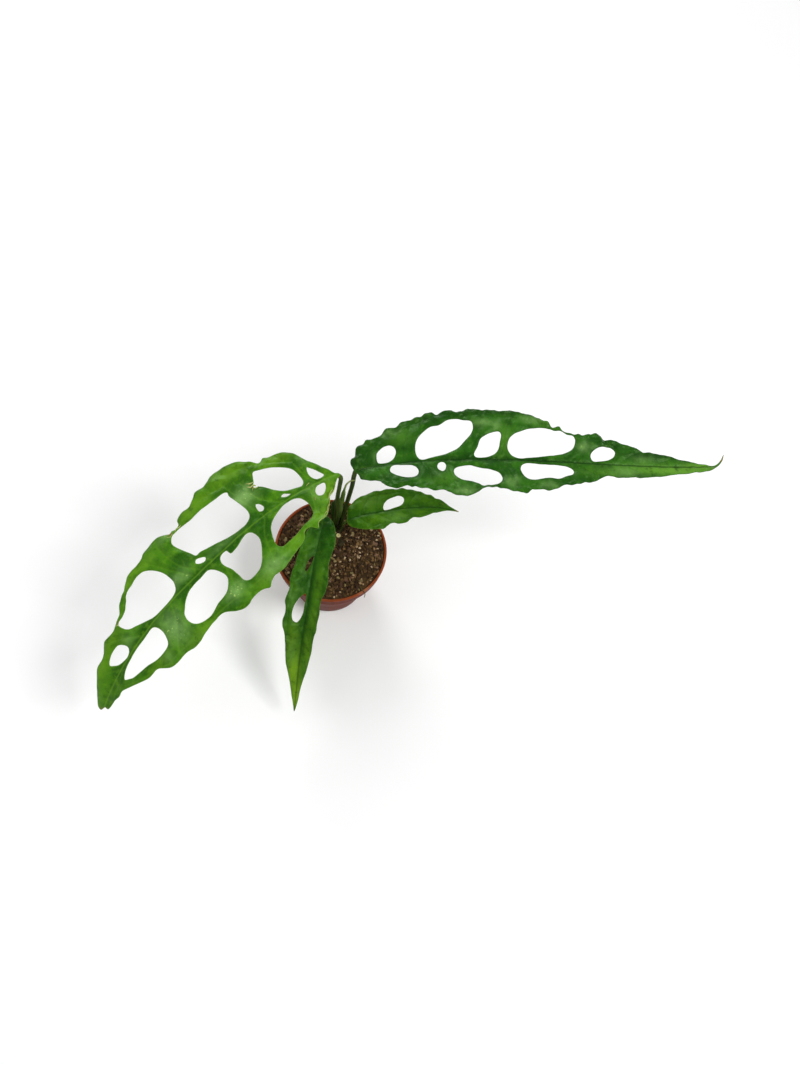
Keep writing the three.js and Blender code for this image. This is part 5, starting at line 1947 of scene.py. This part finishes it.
LEFT_FORM = Form(
    ((0.5, 20, 140), (-58.5, -18.5, 147), (-119.5, -86, 123.5), (-142.5, -128.5, 67)),
    fold=0.12, curl=-0.0025, wave=(0.9, 34, 38), rib_bend=(1.6, 105, 35),
)
RIGHT_FORM = Form(
    ((12.5, 24, 140), (93.5, 39.5, 158), (181, 20.5, 169), (263, 40.5, 153.5)),
    fold=0.2, curl=-0.002, wave=(0.8, 27, 34), rib_bend=(0, 120, 40),
)
SMALL_FORM = Form(
    ((10.5, 11.5, 89), (33, 21, 92), (70, 29, 93), (93.5, 25, 87.5)),
    fold=0.12, curl=-0.002, wave=(0.5, 21, 16), rib_bend=(-0.9, 36, 25),
)
FRONT_FORM = Form(
    ((-5.5, 13, 88), (-17, -35.5, 84), (-17, -85, 58.5), (-19, -114.5, 18.5)),
    fold=0.35, curl=-0.004, wave=(0.6, 24, 14), rib_bend=(1, 65, 32),
)

# Side veins: each one's points on the flat leaf

LEFT_VEINS = (
    ((8, 0.5), (14, 12), (24, 20)), ((22, 1), (26, 12), (30, 23)), ((58, 1), (66, 12), (72, 30)),
    ((96, 2), (99.5, 14), (104, 34)), ((140, 1), (146, 12), (160, 27)), ((196, 1), (206, 3), (218, 4)),
    ((30, 23.5), (50, 28), (72, 32)), ((72, 32), (95, 33), (120, 30)), ((120, 30), (140, 29), (170, 26)),
    ((170, 26), (190, 17), (205, 8)), ((16, -1), (20, -8), (22, -20)), ((44, -1), (54, -12), (57, -28)),
    ((58, 0), (62, -12), (66, -32)), ((112, 0), (120, -12), (122, -30)), ((118, 0), (126, -14), (134, -30)),
    ((170, -1), (178, -9), (186, -16)), ((198, 0), (205, -7), (214, -10)),
    ((22, -22), (40, -33), (60, -40)), ((66, -34), (85, -36), (100, -33)),
    ((134, -31), (150, -29.5), (168, -20)),
)
RIGHT_VEINS = (
    ((6, 0.5), (10, 10), (14, 16)), ((33, 1), (35, 14), (40, 28)), ((78, 0.5), (82, 14), (87, 32)),
    ((99, 1), (102, 12), (105, 32)), ((148, 1), (156, 9), (162, 20)), ((182, 1), (188, 6), (196, 10)),
    ((205, 0.5), (214, 4), (222, 6)), ((12, 17), (24, 22), (38, 28)), ((40, 28), (62, 33.5), (87, 33)),
    ((87, 33), (104, 32), (126, 28.5)), ((126, 28.5), (142, 24), (160, 19)),
    ((160, 19), (180, 15), (200, 9)), ((14, -0.5), (17, -6), (20, -13)), ((46, -0.5), (50, -8), (54, -20)),
    ((63, -0.5), (65, -9), (69, -22)), ((101, -1), (106, -10), (110, -22)),
    ((150, -0.5), (158, -6), (166, -10)), ((185, -0.5), (192, -4), (200, -7)),
    ((20, -13), (36, -16), (54, -20)), ((54, -20), (72, -25), (92, -22.5)),
    ((92, -22.5), (110, -22), (126, -20)), ((126, -20), (145, -16), (164, -11)),
    ((164, -11), (185, -8), (210, -6)),
)
SMALL_VEINS = (
    ((10, 0), (14, 6), (19, 12)), ((22, 0), (24, 7), (27, 13)), ((46, 1), (49, 6), (53, 11)),
    ((58, 0.5), (62, 4), (66, 6)), ((19, 12), (34, 13), (53, 11)), ((53, 11), (62, 8), (74, 4)),
    ((8, -1), (12, -6), (17, -11)), ((22, -1), (27, -6), (32, -10.5)), ((38, -1), (43, -5), (48, -7.5)),
    ((54, -0.5), (59, -3), (64, -4.5)), ((17, -11), (30, -10.8), (48, -8)),
    ((48, -8), (60, -5.5), (72, -2.4)),
)
FRONT_VEINS = (
    ((10, 0.5), (14, 5), (19, 9)), ((28, 0.5), (33, 5), (39, 9)), ((46, 1), (52, 6), (58, 10)),
    ((66, 1), (72, 5), (78, 8)), ((84, 0.8), (90, 4), (96, 6.5)), ((100, 0.5), (107, 3.5), (113, 5)),
    ((19, 9), (38, 9), (58, 10)), ((58, 10), (78, 8), (98, 6.3)), ((10, -0.5), (14, -5), (19, -8.5)),
    ((24, -0.5), (28, -6), (33, -10)), ((46, -0.2), (50, -6), (54, -11)), ((82, -0.6), (86, -6), (90, -10)),
    ((98, -0.5), (104, -4), (110, -7)), ((116, -0.5), (121, -2.5), (126, -4)),
    ((19, -8.5), (38, -10.5), (54, -11)), ((54, -11), (72, -12), (90, -10)),
)

# Patches on the flat leaf: place along and across, length, width, strength; the pale patches are painted
# sheen and the dark ones painted shade

LEFT_PATCHES = {
    Tint.PAINTED_SHEEN_AND_PALE_RIM: (
        (64, -18, 10, 6, 1), (56, -22, 3, 3, 0.9), (22, 6, 4, 8, 0.25), (150, 15, 9, 10, 0.75),
        (167, 23, 5, 4, 0.3), (128, -6, 11, 4, 0.6), (105, 28, 7, 5, 0.8), (74, 32, 9, 5, 0.8),
        (113, -33, 6, 3, 0.6), (178, -6, 6, 4, 0.35), (90, -2, 16, 2.5, 0.3), (190, 4, 10, 4, 0.15),
        (16, -20, 3, 6, 0.3), (121, -3, 3, 2, 0.6), (26, 24, 6, 1, 0.7), (14, 14, 5, 0.9, 0.6),
    ),
    Tint.BRIGHT: (
        (30, -31, 14, 6, 0.6), (60, -40, 16, 6, 0.7), (90, -35, 14, 5, 0.7), (145, -31, 16, 5, 0.7),
        (185, -16, 14, 5, 0.6), (12, 10, 12, 10, 0.8), (25, 22, 12, 6, 0.7), (50, 30, 14, 6, 0.6),
        (85, 36, 12, 6, 0.5), (140, 31, 18, 5, 0.6), (205, -13, 12, 5, 0.7), (175, 21, 14, 4, 0.5),
        (222, 0, 14, 8, 0.3),
    ),
    Tint.DARK: (
        (80, -3, 22, 4, 0.6), (112, 3, 14, 4, 0.6), (147, 6, 6, 4, 0.9), (160, 3, 12, 3, 0.6),
        (128, -5, 10, 7, 0.5), (178, 6, 14, 7, 0.5), (60, -14, 8, 8, 0.6), (205, 2, 14, 5, 0.5),
        (100, 2, 34, 3, 0.8), (175, -1, 34, 3, 0.7), (222, 3, 12, 5, 0.4), (66, 10, 8, 8, 0.5),
        (98, 22, 5, 8, 0.5), (40, -2, 20, 3, 0.5),
    ),
    Tint.DRY: (
        (52.5, -21.5, 1.6, 2.2, 0.6), (104, -33, 2.4, 1.1, 0.7), (110.5, -31.4, 2.4, 1, 0.7),
        (172.5, -19.6, 3.5, 0.9, 0.6), (233, -1.5, 3, 2.4, 0.6), (229, 2.4, 2, 1.2, 0.5),
    ),
}
RIGHT_PATCHES = {
    Tint.PAINTED_SHEEN_AND_PALE_RIM: (
        (75, -26, 7, 3.5, 0.6), (106, -19, 5, 4, 0.45), (131, -20, 6, 3, 0.45), (157, 12, 5, 4, 0.55),
        (185, -6, 9, 4, 0.35), (88, 27, 8, 3, 0.5), (121, 31, 9, 3, 0.4), (26, 23, 7, 3, 0.3),
        (14, 6, 1.4, 4, 0.3), (200, 5, 10, 3, 0.25), (97, 26, 3, 4, 0.45),
    ),
    Tint.BRIGHT: (
        (5, 0.2, 7, 0.9, 0.8), (33, 18, 9, 5, 0.35), (102, 14, 5, 12, 0.4), (220, -3, 42, 4.5, 1),
        (245, 0.2, 22, 3, 1), (60, -16, 12, 6, 0.3), (135, 29, 14, 5, 0.35), (170, -7, 22, 4, 0.4),
    ),
    Tint.DARK: (
        (2, 5, 8, 12, 0.75), (100, 0.5, 60, 2.4, 0.7), (10, 1, 16, 4, 0.5), (66, 34, 12, 4, 0.5),
        (40, 33, 8, 3, 0.5), (205, 7.5, 32, 3, 0.8), (52, -8, 6, 9, 0.5), (180, 14, 14, 4, 0.6),
        (90, 36, 50, 2.6, 0.7), (20, -10, 14, 3, 0.5), (85, -26, 8, 2, 0.5), (46, 31, 14, 5, 0.6),
        (14, 16, 8, 6, 0.5), (130, -12, 30, 2.5, 0.4),
    ),
    Tint.DRY: ((265, 6, 6, 4, 0.9), (146, 23.9, 6, 0.8, 0.6), (158, 21.6, 5, 0.6, 0.4)),
}
SMALL_PATCHES = {
    Tint.PAINTED_SHEEN_AND_PALE_RIM: ((36, -8, 8, 3, 0.25), (20, 8, 7, 4, 0.2)),
    Tint.BRIGHT: (
        (20, -7, 11, 4, 0.6), (40, -6, 7, 3, 0.5), (18, 8, 9, 5, 0.55), (55, -5, 8, 2.5, 0.5),
        (60, 5, 12, 4, 0.35), (30, 12.5, 10, 2.4, 0.3),
    ),
    Tint.DARK: ((20, -0.8, 22, 2, 0.75), (50, 1, 22, 1.8, 0.6), (2, 0, 5, 7, 0.5), (30, -12, 14, 1.5, 0.3)),
    Tint.DRY: ((72, 3.6, 4, 2, 0.35), (84, 0.3, 2.5, 1.2, 0.7)),
}
FRONT_PATCHES = {
    Tint.PAINTED_SHEEN_AND_PALE_RIM: ((64, -11, 7, 3, 0.15), (104, -6, 9, 3, 0.15)),
    Tint.BRIGHT: (
        (30, -7, 16, 4.5, 0.12), (58, -11, 14, 4, 0.12), (118, -3, 18, 5, 0.85), (138, 0, 20, 4, 1),
        (95, -7, 16, 5, 0.4), (100, 5, 18, 3, 0.35), (75, 7, 12, 3, 0.3), (52, 7, 16, 4, 0.25),
    ),
    Tint.DARK: (
        (4, 0, 10, 12, 0.95), (20, 2.5, 18, 4, 0.7), (60, 1.5, 40, 2, 0.7), (40, 10.5, 12, 2, 0.2),
        (50, -4, 30, 3, 0.4), (95, 0.5, 30, 1.5, 0.5),
    ),
    Tint.DRY: ((151, 0, 2, 1, 0.7),),
}

# The plant's parts

BLADES = (
    Blade("left", "leaf_pale", LEAF_PALE, LEFT_FORM, LEFT_OUTLINE, LEFT_HOLES,
          LEFT_VEINS, LEFT_PATCHES, seed=2.0, ridge=0.22, vein_depth=0.28, quilt=1.3, cloud=0.8,
          ripple=0.9),
    Blade("right", "leaf_dark", LEAF_DEEP, RIGHT_FORM, RIGHT_OUTLINE, RIGHT_HOLES,
          RIGHT_VEINS, RIGHT_PATCHES, seed=31.0, groove=0.5, vein_depth=0.26, quilt=1.0, cloud=0.7,
          ripple=1.7, ripple_size=4.6),
    Blade("small", "leaf_pale", LEAF_MID, SMALL_FORM, SMALL_OUTLINE, SMALL_HOLES,
          SMALL_VEINS, SMALL_PATCHES, seed=57.0, thickness=0.4, rib_depth=0.7, rib_half_width=1.2,
          vein_depth=0.24, quilt=0.7, cloud=0.5, ripple=0.8, ripple_size=4.5, edge_step=0.8, fill_step=0.85),
    Blade("front", "leaf_dark", LEAF_FRONT, FRONT_FORM, FRONT_OUTLINE, FRONT_HOLES,
          FRONT_VEINS, FRONT_PATCHES, seed=83.0, thickness=0.4, rib_depth=0.8, rib_half_width=1.3,
          groove=0.4, vein_depth=0.22, quilt=0.7, cloud=0.6, ripple=1.1, ripple_size=4.6,
          edge_step=0.85, fill_step=0.9),
)
STALKS = (
    Stalk("left", LEFT_FORM,
          ((1.2, 19.3, 62.5), (1.7, 19.2, 69), (2, 19, 84), (2, 19, 98), (2.1, 19.2, 112), (2.9, 19.6, 126),
           (2.9, 20.4, 134.5)),
          ((0, 1.9), (0.1, 1.75), (0.4, 1.65), (0.7, 1.55), (0.82, 1.6), (0.9, 1.6), (0.95, 1.2), (1, 0.4)),
          ((0, 0.2), (0.3, 0), (0.8, 0.1), (0.9, 0.35), (1, 0.9)), root=(1.6, 18.8, 57)),
    Stalk("right", RIGHT_FORM,
          ((5.8, 20.1, 62.5), (7, 21.3, 74), (9.4, 22.3, 97), (11.6, 22.6, 120), (12.2, 22.9, 134)),
          ((0, 1.8), (0.3, 1.75), (0.7, 1.6), (0.84, 1.7), (0.9, 1.65), (0.95, 1.2), (1, 0.4)),
          ((0, 0.1), (0.8, 0), (0.9, 0.25), (1, 0.7)), root=(5.4, 19.6, 57)),
    Stalk("small", SMALL_FORM,
          ((6.2, 15.9, 62.5), (7.3, 14.7, 69), (8.4, 12.4, 79), (9, 10.9, 84.5)),
          ((0, 1.4), (0.4, 0.98), (0.75, 0.95), (0.85, 1.05), (0.93, 0.8), (1, 0.35)),
          ((0, 0.2), (0.5, 0.3), (1, 0.6)), root=(5.6, 16.4, 57), below=1.6, rib_run=6),
    Stalk("front", FRONT_FORM,
          ((1.9, 15.5, 62.5), (0.6, 14, 68), (-2.6, 13.1, 76), (-4.9, 14, 82.5)),
          ((0, 1.5), (0.4, 1.2), (0.7, 1.15), (0.82, 1.25), (0.92, 0.95), (1, 0.4)),
          ((0, 0.2), (0.6, 0.1), (1, 0.5)), root=(2.4, 15.9, 57), below=1.8, rib_run=6),
)
TONGUE_LINE = ((5, 20.9, 90), (5.2, 20.9, 98), (5.7, 20.5, 108.5), (6.3, 19.9, 118.2), (7.3, 19.8, 125.2),
               (8.6, 19.8, 128.9), (10.4, 19.8, 131.6), (12.8, 19.8, 132.8))

# Loose bits: each root's radius and points, each flake's half width, thickness and points

ROOT_LINES = (
    (0.4, ((21.5, -26, 57.4), (23.6, -29.6, 59.2), (25.1, -31.9, 60.4), (27, -33.9, 59.8),
           (27.4, -34.6, 56.4), (27.2, -34.4, 52))),
    (0.2, ((6.4, 15.8, 68), (6.2, 13.6, 66), (5.4, 12, 63.5), (5.1, 11.3, 61), (4.6, 9.2, 59))),
    (0.3, ((12, 2, 58.6), (16, -3, 59.5), (18, -10, 58.6), (23, -14, 58.4))),
    (0.26, ((-10, 2, 58.4), (-14, -6, 59), (-12, -13, 58.2), (-16, -18, 58))),
    (0.3, ((10, 24, 58.6), (17, 27, 59.2), (20, 22, 58.3), (27, 21, 58))),
)
FLAKES = (
    (0.6, 0.16, ((50.5, -20.2, 0.2), (52, -21, 1.1), (53.6, -20.6, 1.6), (55.4, -22.4, 1.2))),
    (0.5, 0.16, ((50.2, -23.4, 0.1), (52, -22.8, 1.2), (53.8, -23.8, 1.5), (55, -25, 0.8))),
    (0.4, 0.16, ((49, -18.6, 0.2), (51, -18.4, 1), (53, -19.2, 1.4), (54.2, -18.2, 0.9))),
    (0.3, 0.16, ((101.6, -31.4, 0.2), (103.6, -30.6, 1), (105.6, -31, 1.4), (107.4, -29.8, 0.8))),
    (0.3, 0.16, ((109.4, -30.6, 0.1), (111.4, -29.6, 1), (112.8, -30.4, 1.3), (113.4, -32, 0.5))),
    (0.3, 0.14, ((172, -18.6, 0.1), (173.6, -17.2, 0.9), (175, -18.2, 1.1))),
    (0.25, 0.2, ((5, 6, 0.2), (8.2, 9.8, 0.5), (11.3, 12, 0.3), (14.3, 13.2, 0.6), (15.6, 15.6, 0.4),
                (19, 19.7, 0.7), (22.6, 23.2, 0.4), (25.4, 24.6, 0.6), (31.8, 25.9, 0.3), (34.4, 29.2, 0.2))),
    (0.28, 0.2, ((9.6, 9.8, 0.3), (11.4, 10.8, 0.9), (13.6, 12, 0.5), (15, 13.6, 0.8), (16.2, 15, 0.4))),
    (0.28, 0.2, ((18.4, 18.4, 0.3), (20.4, 20.2, 1), (22, 22, 0.6), (24.2, 22.8, 0.9), (25.6, 23.6, 0.3))),
    (0.3, 0.2, ((20.5, -2.6, 0.2), (22, -2, 0.6), (23.6, -1.6, 0.2))),
    (0.3, 0.2, ((22.8, 8.6, 0.2), (23.8, 10, 0.7), (24.2, 11.4, 0.2))),
)


def build_leaves() -> None:
    """Builds the four blades with their stalks, and the strands on the left one."""
    for blade in BLADES:
        blade.dress(blade.build())
    flakes = Strands("blade_left_strands", "leaf_pale", LEFT_FORM, FLAKES)
    flakes.dress(flakes.build())
    for stalk in STALKS:
        stalk.dress(stalk.build())


def build_base(left: Stalk) -> None:
    """Builds what the leaves stand on.

    Args:
        left: The stalk that carries the sheath.
    """
    sheath = Sheath(
        left,
        wings=((0.04, 1.2), (0.12, 2.5), (0.22, 3.8), (0.32, 4.3), (0.41, 4.2), (0.47, 3.1), (0.53, 1.4)),
        tongue=TONGUE_LINE,
        tongue_width=((0, 1), (0.2, 1.7), (0.45, 1.4), (0.62, 0.7), (0.8, 0.55), (1, 0.35)),
    )
    sheath.dress(sheath.build_wings(), sheath.build_tongue())
    crown = Crown(centre=(3.8, 17.7))
    crown.dress(crown.build(), crown.build_scales())
    stub = Stub()
    stub.dress(stub.build())
    pot = Pot()
    pot.dress(pot.build())
    soil = Soil(pot, crown.centre)
    bed = soil.build()
    soil.dress(bed, [soil.strew(grain, bed) for grain in soil.grains])
    roots = Roots(ROOT_LINES)
    roots.dress(roots.build())


def write_sizes() -> None:
    """Updates the view layer."""
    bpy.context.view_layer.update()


def main() -> None:
    """Builds the studio, the leaves and the base, in that order."""
    logging.basicConfig(level=logging.INFO, format="%(name)s %(message)s")
    Studio().build()
    build_leaves()
    build_base(STALKS[0])
    write_sizes()


if __name__ == "__main__":
    main()
